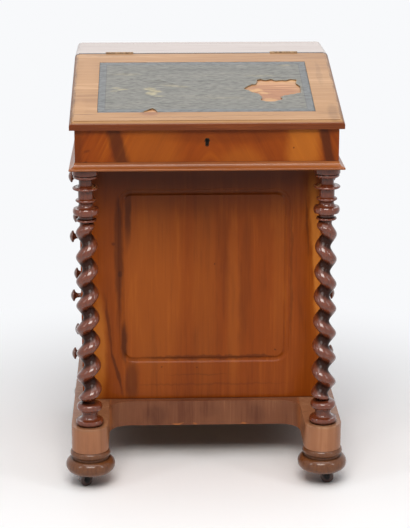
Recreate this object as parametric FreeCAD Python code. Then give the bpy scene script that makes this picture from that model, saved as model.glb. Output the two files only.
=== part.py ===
"""Davenport desk: sloping writing box on a pedestal of drawers, with barley-twist columns and castors.

All lengths are in millimetres. +X is the writer's right, +Y points away from the writer, +Z is up.
While the desk is built, y = 0 is the front edge of the lid and z = 0 is the floor. save() moves every
piece so that the origin lies on the floor, midway between the front and rear feet.
"""
import FreeCAD
import Part
import math
import os

V = FreeCAD.Vector

# ---------------------------------------------------------------- driving dimensions: heights
FOOT_HEIGHT = 48.5            # turned foot, without its spigot; it stands on its castor
PLINTH_THICK = 54.0
CASE_HEIGHT = 541.5           # pedestal, and the columns that stand beside it
BOX_REAR_HEIGHT = 160.5       # writing box under its level top
SLAB_THICK = 17.5             # fixed level top

# ---------------------------------------------------------------- driving dimensions: plan
TOP_WIDTH = 540.0
TOP_DEPTH = 532.0             # front edge of the lid to the back edge of the level top
SLAB_DEPTH = 168.5
SLAB_CORNER_R = 16.0
BOX_WIDTH = 520.0             # the pedestal is as wide as the box
FRONT_OVERHANG = 13.5         # lid beyond the front of the box
BACK_OVERHANG = 10.0
KNEE_DEPTH = 180.0            # box front to pedestal front
ARM_WIDTH = 76.4              # each plinth arm, with round ends over its feet
ARM_LEDGE = 19.0              # arm beyond the side of the pedestal
PLINTH_BACK_LEDGE = 4.2       # plinth behind the back of the pedestal
FOOT_INSET = 30.8             # front feet and columns behind the front of the box

# ---------------------------------------------------------------- lid
LID_SLOPE = 12.4              # degrees
LID_THICK = 17.0
LID_EDGE_ROUND_W = 9.0        # thumbnail moulding along the edges of the top
LID_EDGE_ROUND_H = 7.0
LID_EDGE_STEP = 1.0
LEATHER_SIDE_BORDER = 54.0
LEATHER_FRONT_BORDER = 50.0
LEATHER_REAR_BORDER = 53.0
LEATHER_THICK = 1.2
LEATHER_GAP = 0.2             # round the leather, in its recess
LID_JOINT_GAP = 0.6           # between the lid and the level top
LID_SEAT_GAP = 0.3            # under the lid, on the box

# ---------------------------------------------------------------- hinges, let in flush with the top
HINGE_X = 175.0
HINGE_LENGTH = 59.0
HINGE_KNUCKLES = 5
HINGE_KNUCKLE_R = 2.6
HINGE_PIN_R = 1.2
HINGE_PIN_CLEAR = 0.05
HINGE_KNUCKLE_GAP = 0.3       # between two knuckles, and round them in the wood
HINGE_LEAF_THICK = 1.8
HINGE_LEAF_DEPTH = 14.0

# ---------------------------------------------------------------- writing box
BOX_WALL = 14.0
BOX_BACK_THICK = 12.0
BOX_FLOOR_THICK = 12.0
SLAB_RAIL_WIDTH = 20.0        # cross rail under the front edge of the level top
SLAB_RAIL_HEIGHT = 30.0
MOULD_HEIGHT = 16.0           # cove moulding round the foot of the box
MOULD_OUT = 12.5
MOULD_NOSE = 4.8              # height of its rounded nose
MOULD_FILLET = 2.0            # step between the nose and the cove
MOULD_LIP = 1.2               # flat along its top

# ---------------------------------------------------------------- rack and small drawers under the level top
RACK_BOARD = 6.0
RACK_SETBACK = 4.0            # behind the hinge line
PIGEONHOLES = 3
INNER_HEIGHT = 45.0           # opening of a small drawer
INNER_LENGTH = 130.0
INNER_FRONT_THICK = 8.0
INNER_SIDE_THICK = 5.0
INNER_BOTTOM_THICK = 3.0
INNER_GAP = 0.4               # beside and above a small drawer
INNER_RUN_GAP = 0.2           # under it
INNER_TOP_DROP = 4.0          # sides lower than the front
INNER_KNOB_R = 5.5
INNER_KNOB_OUT = 11.0
INNER_KNOB_HEAD = 5.5         # thickness of its head
INNER_KNOB_NECK_R = 2.5

# ---------------------------------------------------------------- lock
KEYHOLE_DROP = 25.0           # keyhole centre below the top of the box front
KEYHOLE_R = 3.6
KEYHOLE_SLOT_WIDTH = 4.4
KEYHOLE_SLOT_DROP = 8.5
ESCUTCHEON_RIM = 1.4
ESCUTCHEON_THICK = 2.0
LOCK_WIDTH = 56.0
LOCK_HEIGHT = 44.0
LOCK_THICK = 8.5
BOLT_WIDTH = 22.0
BOLT_THICK = 4.0
BOLT_HEIGHT = 15.0
BOLT_TRAVEL = 7.0
BOLT_CLEAR = 0.1
KEEP_LENGTH = 42.0            # striking plate under the lid
KEEP_WIDTH = 14.0
KEEP_THICK = 1.5
KEEP_SLOT_CLEAR = 2.0         # round the bolt, in the striking plate and the lid

# ---------------------------------------------------------------- pedestal
FRONT_PANEL_THICK = 18.0
BAND_HALF_WIDTH = 174.5       # centre line of the hollow band sunk in the front panel
BAND_BOTTOM = 87.0            # above the foot of the panel
BAND_TOP = 454.5
BAND_CORNER_R = 24.0
BAND_WIDTH = 12.5
BAND_DEPTH = 3.0
BACK_PANEL_THICK = 12.0
SIDE_PANEL_THICK = 12.0       # blind left side
SIDE_FACING_THICK = 6.0       # its facing, with the false drawer fronts
CASE_FLOOR_THICK = 12.0
FRONT_STILE_WIDTH = 12.0      # behind the edge of the front panel
REAR_STILE_WIDTH = 20.0
STILE_THICK = 22.0
TOP_RAIL = 10.0
BOTTOM_RAIL = 18.0
DIVIDER = 12.0
RAIL_DEPTH = 60.0             # drawer rails, from the side of the case inwards
GUIDE_HEIGHT = 16.0           # of a drawer guide above its runner
RUNNER_BEARING = 9.5          # how far a runner reaches under a drawer

# ---------------------------------------------------------------- drawers
DRAWERS = 4
DRAWER_FRONT_THICK = 18.0
DRAWER_FRONT_GAP = 0.8
DRAWER_SIDE_THICK = 9.0
DRAWER_SIDE_GAP = 1.0
DRAWER_RUN_GAP = 0.3          # over the runners
DRAWER_TOP_GAP = 7.0
DRAWER_BACK_DROP = 6.0        # back lower than the sides
DRAWER_BOTTOM_THICK = 6.0
DRAWER_BOTTOM_RAISE = 4.0
DRAWER_STOP_GAP = 10.0        # behind a shut drawer
KNOB_SPACING = 176.0
KNOB_OUT = 25.0
KNOB_R = 13.0
KNOB_EDGE = 1.6               # rounding of the rim of the head
KNOB_HEAD = 8.5               # thickness of the head
KNOB_DOME = 4.0               # of which its dome
KNOB_CROWN = 1.2              # fall of the dome at half its radius
KNOB_TIP_R = 2.5              # flat tip
KNOB_NECK_R = 5.0
KNOB_BASE_R = 8.0
KNOB_BASE_THICK = 1.5
KNOB_PIN_R = 4.0
KNOB_PIN_LENGTH = 14.0
KNOB_PIN_CLEAR = 0.1

# ---------------------------------------------------------------- plinth
PLINTH_LEDGE = 18.0           # front rail before the front of the pedestal
COVE_R = 42.0                 # hollow corners between the front rail and the arms
PLINTH_RAIL_DEPTH = 70.0
SPIGOT_R = 12.0               # turned spigots of the feet and columns
SPIGOT_LENGTH = 22.0
SPIGOT_CLEAR = 0.15
COLUMN_SPIGOT_R = 4.0
COLUMN_SPIGOT_LENGTH = 10.0

# ---------------------------------------------------------------- feet
BUN_R = 50.6
BUN_WIDEST = 15.0             # above the underside of the bun
BUN_FOOT_R = 35.0
BUN_TOP = 31.0
FOOT_NECK_R = 38.0
FOOT_BEAD_R = 41.5
FOOT_BEAD = 14.0

# ---------------------------------------------------------------- castors
WHEEL_R = 13.5
WHEEL_WIDTH = 15.0
WHEEL_EDGE_R = 2.0
WHEEL_SIDE_GAP = 0.4
AXLE_R = 2.0
AXLE_CLEAR = 0.06
AXLE_RIVET = 1.0
TRAIL = 12.0                  # wheel axle behind the swivel axis
HORN_THICK = 2.5
HORN_EAR_R = 5.0
HORN_CROWN_R = 13.5
HORN_CROWN_THICK = 2.5
HORN_WHEEL_GAP = 1.2
SWIVEL_R = 4.0
SWIVEL_CLEAR = 0.05
SWIVEL_THRUST_GAP = 0.3
SWIVEL_HEAD_R = 6.0
SWIVEL_HEAD_THICK = 1.5
SOCKET_PLATE_R = 18.0
SOCKET_PLATE_THICK = 2.5
SOCKET_BOSS_R = 7.5
SOCKET_BOSS_HEIGHT = 12.0
# where each castor trails at rest, in degrees from +X
CASTOR_ANGLES = {"front_left": 205.0, "front_right": 350.0, "rear_left": 155.0, "rear_right": 20.0}

# ---------------------------------------------------------------- barley-twist columns
TWIST_FOOT_R = 26.0           # crest of the strand at its foot; it tapers upwards
TWIST_TOP_R = 21.5
TWIST_ROOT_R = 9.5            # bottom of the hollow
TWIST_FULLNESS = 1.0          # below 1 the strand is fuller than the hollow
TWIST_NECK_R = 12.5           # round neck that the strand fades into at each end
TWIST_RUNOUT = 15.0
TWIST_SIDES = 20
TWIST_STEPS_PER_TURN = 14
# carved by hand, so the two columns differ: pitch, and where the crest starts, in degrees from outwards
TWIST_PITCH = {"right": 52.2, "left": 50.7}
TWIST_START = {"right": 257.0, "left": 18.0}
COLUMN_SEAT_R = 15.5          # flat that the twist springs from
COLUMN_EDGE = 1.8             # rounding of the turned members
# turned base, from the plinth upwards
BASE_TORUS = 12.0
BASE_TORUS_R = 28.5
BASE_HOLLOW = 8.0
BASE_NECK = 8.0
BASE_NECK_R = 16.0
BASE_COLLAR = 2.5
BASE_COLLAR_R = 18.5
BASE_RING = 19.0
BASE_RING_R = 26.3
# turned head, from the box downwards
HEAD_ABACUS = 14.0
HEAD_ABACUS_R = 26.3
HEAD_BEAD = 8.5
HEAD_BEAD_R = 24.8
HEAD_DRUM = 13.5
HEAD_DRUM_R = 13.6
HEAD_FLARE = 3.5
HEAD_DISC = 5.0
HEAD_DISC_R = 26.7
HEAD_UNDERCUT = 3.0
HEAD_SHAFT = 17.0
HEAD_RING = 5.0
HEAD_RING_R = 21.0
HEAD_HOLLOW = 5.5
HEAD_HOLLOW_R = 14.6
HEAD_VASE_FLARE = 8.0
HEAD_VASE = 12.5
HEAD_VASE_R = 26.7
HEAD_VASE_TAPER = 4.5
HEAD_NECK = 5.0
HEAD_COLLAR = 6.5
HEAD_COLLAR_R = 20.5

# ---------------------------------------------------------------- places worked out from the sizes
CROWN_Z = 2 * WHEEL_R + HORN_WHEEL_GAP                     # underside of a castor's crown
FOOT_Z = CROWN_Z + HORN_CROWN_THICK + SWIVEL_THRUST_GAP    # underside of the feet and socket plates
SOCKET_TOP = FOOT_Z + SOCKET_PLATE_THICK + SOCKET_BOSS_HEIGHT
SWIVEL_HEAD_Z = SOCKET_TOP + SWIVEL_THRUST_GAP
PLINTH_Z = FOOT_Z + FOOT_HEIGHT
CASE_Z = PLINTH_Z + PLINTH_THICK
BOX_Z = CASE_Z + CASE_HEIGHT
SLAB_Z = BOX_Z + BOX_REAR_HEIGHT
TOP_Z = SLAB_Z + SLAB_THICK

HINGE_Y = TOP_DEPTH - SLAB_DEPTH
BOX_FRONT = FRONT_OVERHANG
BOX_BACK = TOP_DEPTH - BACK_OVERHANG
BOX_HALF = BOX_WIDTH / 2
TOP_HALF = TOP_WIDTH / 2
CASE_FRONT = BOX_FRONT + KNEE_DEPTH
CASE_IN_FRONT = CASE_FRONT + FRONT_PANEL_THICK
CASE_IN_BACK = BOX_BACK - BACK_PANEL_THICK
PANEL_OUT = -BOX_HALF + SIDE_FACING_THICK
PANEL_IN = PANEL_OUT + SIDE_PANEL_THICK
STILE_IN = BOX_HALF - STILE_THICK
OPENING_FRONT = CASE_IN_FRONT + FRONT_STILE_WIDTH
OPENING_BACK = BOX_BACK - REAR_STILE_WIDTH
DRAWER_MID_Y = (OPENING_FRONT + OPENING_BACK) / 2
OPENING_HEIGHT = (CASE_HEIGHT - BOTTOM_RAIL - TOP_RAIL - (DRAWERS - 1) * DIVIDER) / DRAWERS
COLUMN_BASE = BASE_TORUS + BASE_HOLLOW + BASE_NECK + BASE_COLLAR + BASE_RING
HEAD_MEMBERS = (HEAD_ABACUS, HEAD_BEAD, HEAD_DRUM, HEAD_FLARE, HEAD_DISC, HEAD_UNDERCUT, HEAD_SHAFT,
                HEAD_RING, HEAD_HOLLOW, HEAD_VASE_FLARE, HEAD_VASE, HEAD_VASE_TAPER, HEAD_NECK, HEAD_COLLAR)
COLUMN_HEAD = sum(HEAD_MEMBERS)
LID_LENGTH = HINGE_Y / math.cos(math.radians(LID_SLOPE))
PLINTH_BACK = BOX_BACK + PLINTH_BACK_LEDGE
ARM_X = BOX_HALF + ARM_LEDGE - ARM_WIDTH / 2
ARM_INNER = ARM_X - ARM_WIDTH / 2
FOOT_FRONT_Y = BOX_FRONT + FOOT_INSET
FOOT_REAR_Y = PLINTH_BACK - ARM_WIDTH / 2
ORIGIN_Y = (FOOT_FRONT_Y + FOOT_REAR_Y) / 2
FEET = {
    "front_left": (-ARM_X, FOOT_FRONT_Y),
    "front_right": (ARM_X, FOOT_FRONT_Y),
    "rear_left": (-ARM_X, FOOT_REAR_Y),
    "rear_right": (ARM_X, FOOT_REAR_Y),
}
X_AXIS = V(1, 0, 0)
Y_AXIS = V(0, 1, 0)
Z_AXIS = V(0, 0, 1)


# ---------------------------------------------------------------- helpers
def block(x, y, z):
    """A box from its (low, high) extents."""
    return Part.makeBox(x[1] - x[0], y[1] - y[0], z[1] - z[0], V(x[0], y[0], z[0]))


def rod(radius, start, end):
    """A cylinder between two points."""
    return Part.makeCylinder(radius, (end - start).Length, start, end - start)


def face(plane, start, *steps):
    """A closed face. A step is an end point, or a pair (point on the arc, end point)."""
    edges = []
    here = plane(*start)
    for step in steps + (start,):
        is_arc = isinstance(step[0], tuple)
        end = plane(*(step[1] if is_arc else step))
        if is_arc:
            edges.append(Part.Arc(here, plane(*step[0]), end).toShape())
        elif here.distanceToPoint(end) > 1e-6:
            edges.append(Part.makeLine(here, end))
        here = end
    return Part.Face(Part.Wire(edges))


def midway(centre, corner):
    """Point midway round a quarter of an ellipse, from its centre and the opposite corner of its box."""
    half = math.sqrt(0.5)
    return tuple(c + (k - c) * half for c, k in zip(centre, corner))


def in_xy(x, y):
    return V(x, y, 0)


def in_xz(x, z):
    return V(x, 0, z)


def in_yz(y, z):
    return V(0, y, z)


def turned(start, *steps):
    """A solid of revolution about Z; the outline is in (radius, height)."""
    return face(in_xz, start, *steps).revolve(V(0, 0, 0), Z_AXIS, 360)


def extrude_z(outline, z):
    outline.translate(V(0, 0, z[0]))
    return outline.extrude(V(0, 0, z[1] - z[0]))


def extrude_x(outline, x):
    outline.translate(V(x[0], 0, 0))
    return outline.extrude(V(x[1] - x[0], 0, 0))


def moved(shape, x=0.0, y=0.0, z=0.0):
    copy = shape.copy()
    copy.translate(V(x, y, z))
    return copy


def mirrored(shape):
    """The same piece on the other side of the desk."""
    return shape.mirror(V(0, 0, 0), X_AXIS)


def save(name, shape):
    """Write one node: every solid of the shape, in the frame of the finished desk."""
    solids = [moved(solid, y=-ORIGIN_Y) for solid in shape.Solids]
    Part.makeCompound(solids).exportStep("parts/" + name + ".step")


# ---------------------------------------------------------------- lid plane
def lid_under(y):
    """Height of the underside of the lid."""
    slope = math.radians(LID_SLOPE)
    return TOP_Z - (HINGE_Y - y) * math.tan(slope) - LID_THICK / math.cos(slope)


def under_lid(shape, gap):
    """The part of a shape that lies below the lid's underside, by a gap."""
    reach = 2 * TOP_DEPTH
    cutter = face(in_yz, (-reach, lid_under(-reach) - gap), (HINGE_Y, lid_under(HINGE_Y) - gap),
                  (HINGE_Y, TOP_Z + reach), (-reach, TOP_Z + reach))
    return shape.cut(extrude_x(cutter, (-TOP_WIDTH, TOP_WIDTH)))


def tilted(shape):
    """From the lid's own frame (hinge line at its origin, top at z = 0) to its place on the desk."""
    copy = shape.copy()
    copy.rotate(V(0, 0, 0), X_AXIS, LID_SLOPE)
    copy.translate(V(0, HINGE_Y, TOP_Z))
    return copy


def thumbnail_waste(length):
    """What a thumbnail moulding takes off an edge at x = 0, y = 0, z = 0 that runs along +Y."""
    w, step = LID_EDGE_ROUND_W, LID_EDGE_STEP
    low = -step - LID_EDGE_ROUND_H
    quarter = (midway((-w, low), (0, -step)), (0, low))
    waste = face(in_xz, (-w, 0), (-w, -step), quarter, (w, low), (w, step), (-w, step))
    return waste.extrude(V(0, length, 0))


# ---------------------------------------------------------------- hinges
def knuckle_spans():
    pitch = HINGE_LENGTH / HINGE_KNUCKLES
    ends = [-HINGE_LENGTH / 2 + i * pitch for i in range(HINGE_KNUCKLES + 1)]
    return list(zip(ends, ends[1:]))


def hinge_leaf(side, first):
    """One leaf with every second knuckle. side is +1 behind the hinge line and -1 before it."""
    near = LID_JOINT_GAP / 2
    y = sorted((side * near, side * (near + HINGE_LEAF_THICK)))
    clear = HINGE_KNUCKLE_R + HINGE_KNUCKLE_GAP
    leaf = block((-HINGE_LENGTH / 2, HINGE_LENGTH / 2), y, (-HINGE_LEAF_DEPTH, -clear))
    for low, high in knuckle_spans()[first::2]:
        span = (low + HINGE_KNUCKLE_GAP / 2, high - HINGE_KNUCKLE_GAP / 2)
        leaf = leaf.fuse(block(span, y, (-clear, 0)))
        leaf = leaf.fuse(rod(HINGE_KNUCKLE_R, V(span[0], 0, 0), V(span[1], 0, 0)))
    bore = HINGE_PIN_R + HINGE_PIN_CLEAR
    return leaf.cut(rod(bore, V(-HINGE_LENGTH, 0, 0), V(HINGE_LENGTH, 0, 0))).removeSplitter()


def hinge_recess(side):
    """The wood cut away for one leaf and for the row of knuckles."""
    near = LID_JOINT_GAP / 2
    y = sorted((0, side * (near + HINGE_LEAF_THICK)))
    half = HINGE_LENGTH / 2
    clear = HINGE_KNUCKLE_R + HINGE_KNUCKLE_GAP
    knuckles = rod(clear, V(-half - HINGE_KNUCKLE_GAP, 0, 0), V(half + HINGE_KNUCKLE_GAP, 0, 0))
    return block((-half, half), y, (-HINGE_LEAF_DEPTH, 0)).fuse(knuckles)


def on_hinges(shape):
    """Two copies of a piece of the hinge, at its two places on the hinge line."""
    return Part.makeCompound([moved(shape, x, HINGE_Y, TOP_Z) for x in (-HINGE_X, HINGE_X)])


def make_hinges():
    fixed = hinge_leaf(1, 0)
    moving = hinge_leaf(-1, 1)
    pin = rod(HINGE_PIN_R, V(-HINGE_LENGTH / 2, 0, 0), V(HINGE_LENGTH / 2, 0, 0))
    save("hinge_fixed_leaves", on_hinges(fixed))
    save("hinge_moving_leaves", on_hinges(moving))
    save("hinge_pins", on_hinges(pin))


# ---------------------------------------------------------------- level top and lid
def make_slab():
    front = HINGE_Y + LID_JOINT_GAP / 2
    slab = block((-TOP_HALF, TOP_HALF), (front, TOP_DEPTH), (SLAB_Z, TOP_Z))
    back_corners = [e for e in slab.Edges
                    if e.BoundBox.ZLength > SLAB_THICK / 2 and e.BoundBox.YMin > TOP_DEPTH - 1]
    slab = slab.makeFillet(SLAB_CORNER_R, back_corners)
    length = 2 * TOP_DEPTH
    side = moved(thumbnail_waste(length), TOP_HALF, -TOP_DEPTH, TOP_Z)
    slab = slab.cut(side).cut(mirrored(side))
    back = thumbnail_waste(length)
    back.rotate(V(0, 0, 0), Z_AXIS, 90)
    slab = slab.cut(moved(back, TOP_DEPTH, TOP_DEPTH, TOP_Z))
    save("top_slab", slab.cut(on_hinges(hinge_recess(1))))


def leather_extent(gap):
    x = TOP_HALF - LEATHER_SIDE_BORDER - gap
    y = (-LID_LENGTH + LEATHER_FRONT_BORDER + gap, -LEATHER_REAR_BORDER - gap)
    return (-x, x), y


def lid_boards():
    """Panel, front rail, the lipping under its edge, and the two linings that leave room for the bolt."""
    full = (-TOP_HALF, TOP_HALF)
    joint = -LID_LENGTH + LEATHER_FRONT_BORDER
    pocket_front = keep_frame_y() - BOLT_THICK / 2 - KEEP_SLOT_CLEAR
    pocket_top = -LID_THICK + BOLT_TRAVEL + KEEP_THICK
    low = (-LID_THICK, pocket_top)
    lining = block((BOLT_WIDTH / 2 + KEEP_SLOT_CLEAR, TOP_HALF), (pocket_front, joint), low)
    return [
        block(full, (joint, LID_THICK), (-LID_THICK, 0)),
        block(full, (-LID_LENGTH, joint), (pocket_top, 0)),
        block(full, (-LID_LENGTH, pocket_front), low),
        lining,
        mirrored(lining),
    ]


def make_lid():
    side = moved(thumbnail_waste(2 * LID_LENGTH), TOP_HALF, -LID_LENGTH - LID_THICK)
    front = thumbnail_waste(2 * TOP_WIDTH)
    front.rotate(V(0, 0, 0), Z_AXIS, -90)
    x, y = leather_extent(0)
    bed = block(x, y, (-LEATHER_THICK, LID_THICK))
    flat_waste = [side, mirrored(side), moved(front, -TOP_WIDTH, -LID_LENGTH), bed, keep_plate()]
    behind = block((-TOP_WIDTH, TOP_WIDTH), (HINGE_Y - LID_JOINT_GAP / 2, TOP_DEPTH), (0, 2 * TOP_Z))
    boards = []
    for board in lid_boards():
        board = tilted(board.cut(flat_waste))
        boards.append(board.cut(behind).cut(on_hinges(hinge_recess(-1))))
    save("lid_board", Part.makeCompound(boards))
    x, y = leather_extent(LEATHER_GAP)
    save("lid_leather", tilted(block(x, y, (-LEATHER_THICK, 0))))


# ---------------------------------------------------------------- lock
def lock_centre_y():
    return BOX_FRONT + BOX_WALL - LOCK_THICK / 2


def keyhole_z():
    return lid_under(BOX_FRONT) - KEYHOLE_DROP


def keyhole(grow, y):
    """The keyhole, or the outline round it, as a solid along Y."""
    radius = KEYHOLE_R + grow
    half = KEYHOLE_SLOT_WIDTH / 2 + grow
    z = keyhole_z()
    barrel = rod(radius, V(0, y[0], z), V(0, y[1], z))
    foot = z - KEYHOLE_SLOT_DROP
    slot = block((-half, half), y, (foot, z)).fuse(rod(half, V(0, y[0], foot), V(0, y[1], foot)))
    return barrel.fuse(slot).removeSplitter()


def keep_frame_y():
    """Place of the raised bolt along the lid's own Y, halfway up its travel."""
    slope = math.radians(LID_SLOPE)
    return (lock_centre_y() - HINGE_Y) / math.cos(slope) - (LID_THICK - BOLT_TRAVEL / 2) * math.tan(slope)


def keep_slot():
    mid = keep_frame_y()
    half_x = BOLT_WIDTH / 2 + KEEP_SLOT_CLEAR
    half_y = BOLT_THICK / 2 + KEEP_SLOT_CLEAR
    return block((-half_x, half_x), (mid - half_y, mid + half_y), (-2 * LID_THICK, 0))


def keep_plate():
    mid = keep_frame_y()
    y = (mid - KEEP_WIDTH / 2, mid + KEEP_WIDTH / 2)
    return block((-KEEP_LENGTH / 2, KEEP_LENGTH / 2), y, (-LID_THICK, -LID_THICK + KEEP_THICK))


def lock_body():
    y = (BOX_FRONT + BOX_WALL - LOCK_THICK, BOX_FRONT + BOX_WALL)
    top = lid_under(BOX_FRONT)
    body = block((-LOCK_WIDTH / 2, LOCK_WIDTH / 2), y, (top - LOCK_HEIGHT, top + LOCK_HEIGHT))
    return under_lid(body, LID_SEAT_GAP)


def bolt_block(grow):
    half_x = BOLT_WIDTH / 2 + grow
    half_y = BOLT_THICK / 2 + grow
    mid = lock_centre_y()
    top = lid_under(mid)
    z = (top - BOLT_HEIGHT - grow, top + BOLT_HEIGHT)
    return block((-half_x, half_x), (mid - half_y, mid + half_y), z)


def make_lock():
    body = lock_body().cut(bolt_block(BOLT_CLEAR))
    front_wall = (BOX_FRONT + BOX_WALL - LOCK_THICK, lock_centre_y())
    body = body.cut(keyhole(0, front_wall))
    save("lock_case", body)
    save("lock_bolt", under_lid(bolt_block(0), LID_SEAT_GAP))
    rim = keyhole(ESCUTCHEON_RIM, (BOX_FRONT, BOX_FRONT + ESCUTCHEON_THICK))
    save("keyhole_escutcheon", rim.cut(keyhole(0, (BOX_FRONT, BOX_FRONT + ESCUTCHEON_THICK))))
    save("lid_lock_plate", tilted(keep_plate().cut(keep_slot())))


# ---------------------------------------------------------------- writing box
def make_box():
    front = (BOX_FRONT, BOX_FRONT + BOX_WALL)
    inner = BOX_HALF - BOX_WALL
    board = under_lid(block((-BOX_HALF, BOX_HALF), front, (BOX_Z, TOP_Z)), LID_SEAT_GAP)
    board = board.cut(lock_body())
    board = board.cut(keyhole(ESCUTCHEON_RIM, (BOX_FRONT - 1, BOX_FRONT + ESCUTCHEON_THICK)))
    board = board.cut(keyhole(0, (BOX_FRONT, BOX_FRONT + BOX_WALL - LOCK_THICK)))
    save("box_front", board)
    side = block((inner, BOX_HALF), (front[1], BOX_BACK), (BOX_Z, SLAB_Z))
    side = under_lid(side, LID_SEAT_GAP).cut(column_spigots(SPIGOT_CLEAR))
    save("box_right_side", side)
    save("box_left_side", mirrored(side))
    back = (BOX_BACK - BOX_BACK_THICK, BOX_BACK)
    save("box_back", block((-inner, inner), back, (BOX_Z, SLAB_Z)))
    floor = block((-inner, inner), (front[1], back[0]), (BOX_Z, BOX_Z + BOX_FLOOR_THICK))
    save("box_bottom", floor.cut(column_spigots(SPIGOT_CLEAR)))


def rack_front():
    return HINGE_Y + RACK_SETBACK


def make_rack():
    """Boards under the level top: its cross rail, a shelf, and uprights below and above the shelf."""
    half = BOX_HALF - BOX_WALL
    floor = BOX_Z + BOX_FLOOR_THICK
    rail_front = HINGE_Y + LID_JOINT_GAP / 2
    rail_low = SLAB_Z - SLAB_RAIL_HEIGHT
    y = (rack_front(), BOX_BACK - BOX_BACK_THICK)
    shelf_z = (floor + INNER_HEIGHT, floor + INNER_HEIGHT + RACK_BOARD)
    boards = [
        block((-half, half), (rail_front, rail_front + SLAB_RAIL_WIDTH), (rail_low, SLAB_Z)),
        block((-half, half), y, shelf_z),
        block((-RACK_BOARD / 2, RACK_BOARD / 2), y, (floor, shelf_z[0])),
    ]
    for k in range(1, PIGEONHOLES):
        x = -half + k * 2 * half / PIGEONHOLES
        boards.append(block((x - RACK_BOARD / 2, x + RACK_BOARD / 2), y, (shelf_z[1], rail_low)))
    save("stationery_rack", Part.makeCompound(boards))


def inner_knob():
    """A small turned knob that points along +Z from its seat."""
    neck, out = INNER_KNOB_NECK_R, INNER_KNOB_OUT
    pin_end = -INNER_FRONT_THICK / 2
    head_mid = out - INNER_KNOB_HEAD / 2
    return turned((0, pin_end), (neck, pin_end), (neck, out - INNER_KNOB_HEAD),
                  ((INNER_KNOB_R, head_mid), (neck, out)), (0, out))


def inner_drawer(side):
    """A small drawer with its knob; side is -1 on the left and +1 on the right."""
    wall, partition = BOX_HALF - BOX_WALL, RACK_BOARD / 2
    x = sorted((side * (wall - INNER_GAP), side * (partition + INNER_GAP)))
    y = (rack_front(), rack_front() + INNER_LENGTH)
    floor = BOX_Z + BOX_FLOOR_THICK
    z = (floor + INNER_RUN_GAP, floor + INNER_HEIGHT - INNER_GAP)
    tray_y = (y[0] + INNER_FRONT_THICK, y[1])
    tray_x = (x[0] + INNER_SIDE_THICK, x[1] - INNER_SIDE_THICK)
    side_z = (z[0], z[1] - INNER_TOP_DROP)
    bottom_z = z[0] + INNER_BOTTOM_THICK
    knob_seat = V((x[0] + x[1]) / 2, y[0], (z[0] + z[1]) / 2)
    inset = V(0, INNER_FRONT_THICK / 2, 0)
    front = block(x, (y[0], tray_y[0]), z)
    front = front.cut(rod(INNER_KNOB_NECK_R, knob_seat - inset, knob_seat + inset))
    one_knob = inner_knob()
    one_knob.rotate(V(0, 0, 0), X_AXIS, 90)
    return Part.makeCompound([
        front,
        block((x[0], tray_x[0]), tray_y, side_z),
        block((tray_x[1], x[1]), tray_y, side_z),
        block(tray_x, (y[1] - INNER_SIDE_THICK, y[1]), (bottom_z, side_z[1])),
        block(tray_x, tray_y, (z[0], bottom_z)),
        moved(one_knob, *knob_seat),
    ])


def make_inner_drawers():
    save("inner_drawer_left", inner_drawer(-1))
    save("inner_drawer_right", inner_drawer(1))


def moulding_profile():
    """Section of the cove moulding: x outwards from the box, z up from its foot."""
    cove_out = MOULD_OUT - MOULD_FILLET
    cove_mid = midway((cove_out, MOULD_HEIGHT), (MOULD_LIP, MOULD_NOSE))
    return face(in_xz, (0, 0), (cove_out, 0), ((MOULD_OUT, MOULD_NOSE / 2), (cove_out, MOULD_NOSE)),
                (cove_mid, (MOULD_LIP, MOULD_HEIGHT)), (0, MOULD_HEIGHT))


def make_moulding():
    """Three mitred lengths: one across the front and one down each side."""
    reach = 2 * TOP_DEPTH
    waste = face(in_xy, (-reach, reach), (reach, -reach), (-reach, -reach)).extrude(V(0, 0, reach))
    run = moulding_profile().extrude(V(0, BOX_BACK - BOX_FRONT + MOULD_OUT, 0))
    side = moved(run, BOX_HALF, BOX_FRONT - MOULD_OUT, BOX_Z)
    side = side.cut(moved(waste, BOX_HALF, BOX_FRONT))
    front = moulding_profile()
    front.rotate(V(0, 0, 0), Z_AXIS, -90)
    front = moved(front.extrude(V(BOX_WIDTH + 2 * MOULD_OUT, 0, 0)), -BOX_HALF - MOULD_OUT, BOX_FRONT, BOX_Z)
    kept = moved(waste, BOX_HALF, BOX_FRONT)
    front = front.common(kept).common(mirrored(kept))
    save("box_moulding", Part.makeCompound([side, mirrored(side), front]))


# ---------------------------------------------------------------- pedestal
def opening_z(index):
    """Bottom and top of a drawer opening, counted from the floor of the case."""
    low = CASE_Z + BOTTOM_RAIL + index * (OPENING_HEIGHT + DIVIDER)
    return low, low + OPENING_HEIGHT


def band_bend(centre_z, radius, direction):
    """A quarter ring at a right-hand corner of the sunk band; direction is 1 at the top, -1 at the foot."""
    corner = V(BAND_HALF_WIDTH - BAND_CORNER_R, band_axis_y(), centre_z)
    disc = Part.Face(Part.Wire(Part.makeCircle(radius, corner + V(BAND_CORNER_R, 0, 0), Z_AXIS)))
    return disc.revolve(corner, V(0, -direction, 0), 90)


def band_radius():
    """Radius of the hollow whose chord is the band's width."""
    return ((BAND_WIDTH / 2) ** 2 + BAND_DEPTH ** 2) / (2 * BAND_DEPTH)


def band_axis_y():
    return CASE_FRONT + BAND_DEPTH - band_radius()


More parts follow.
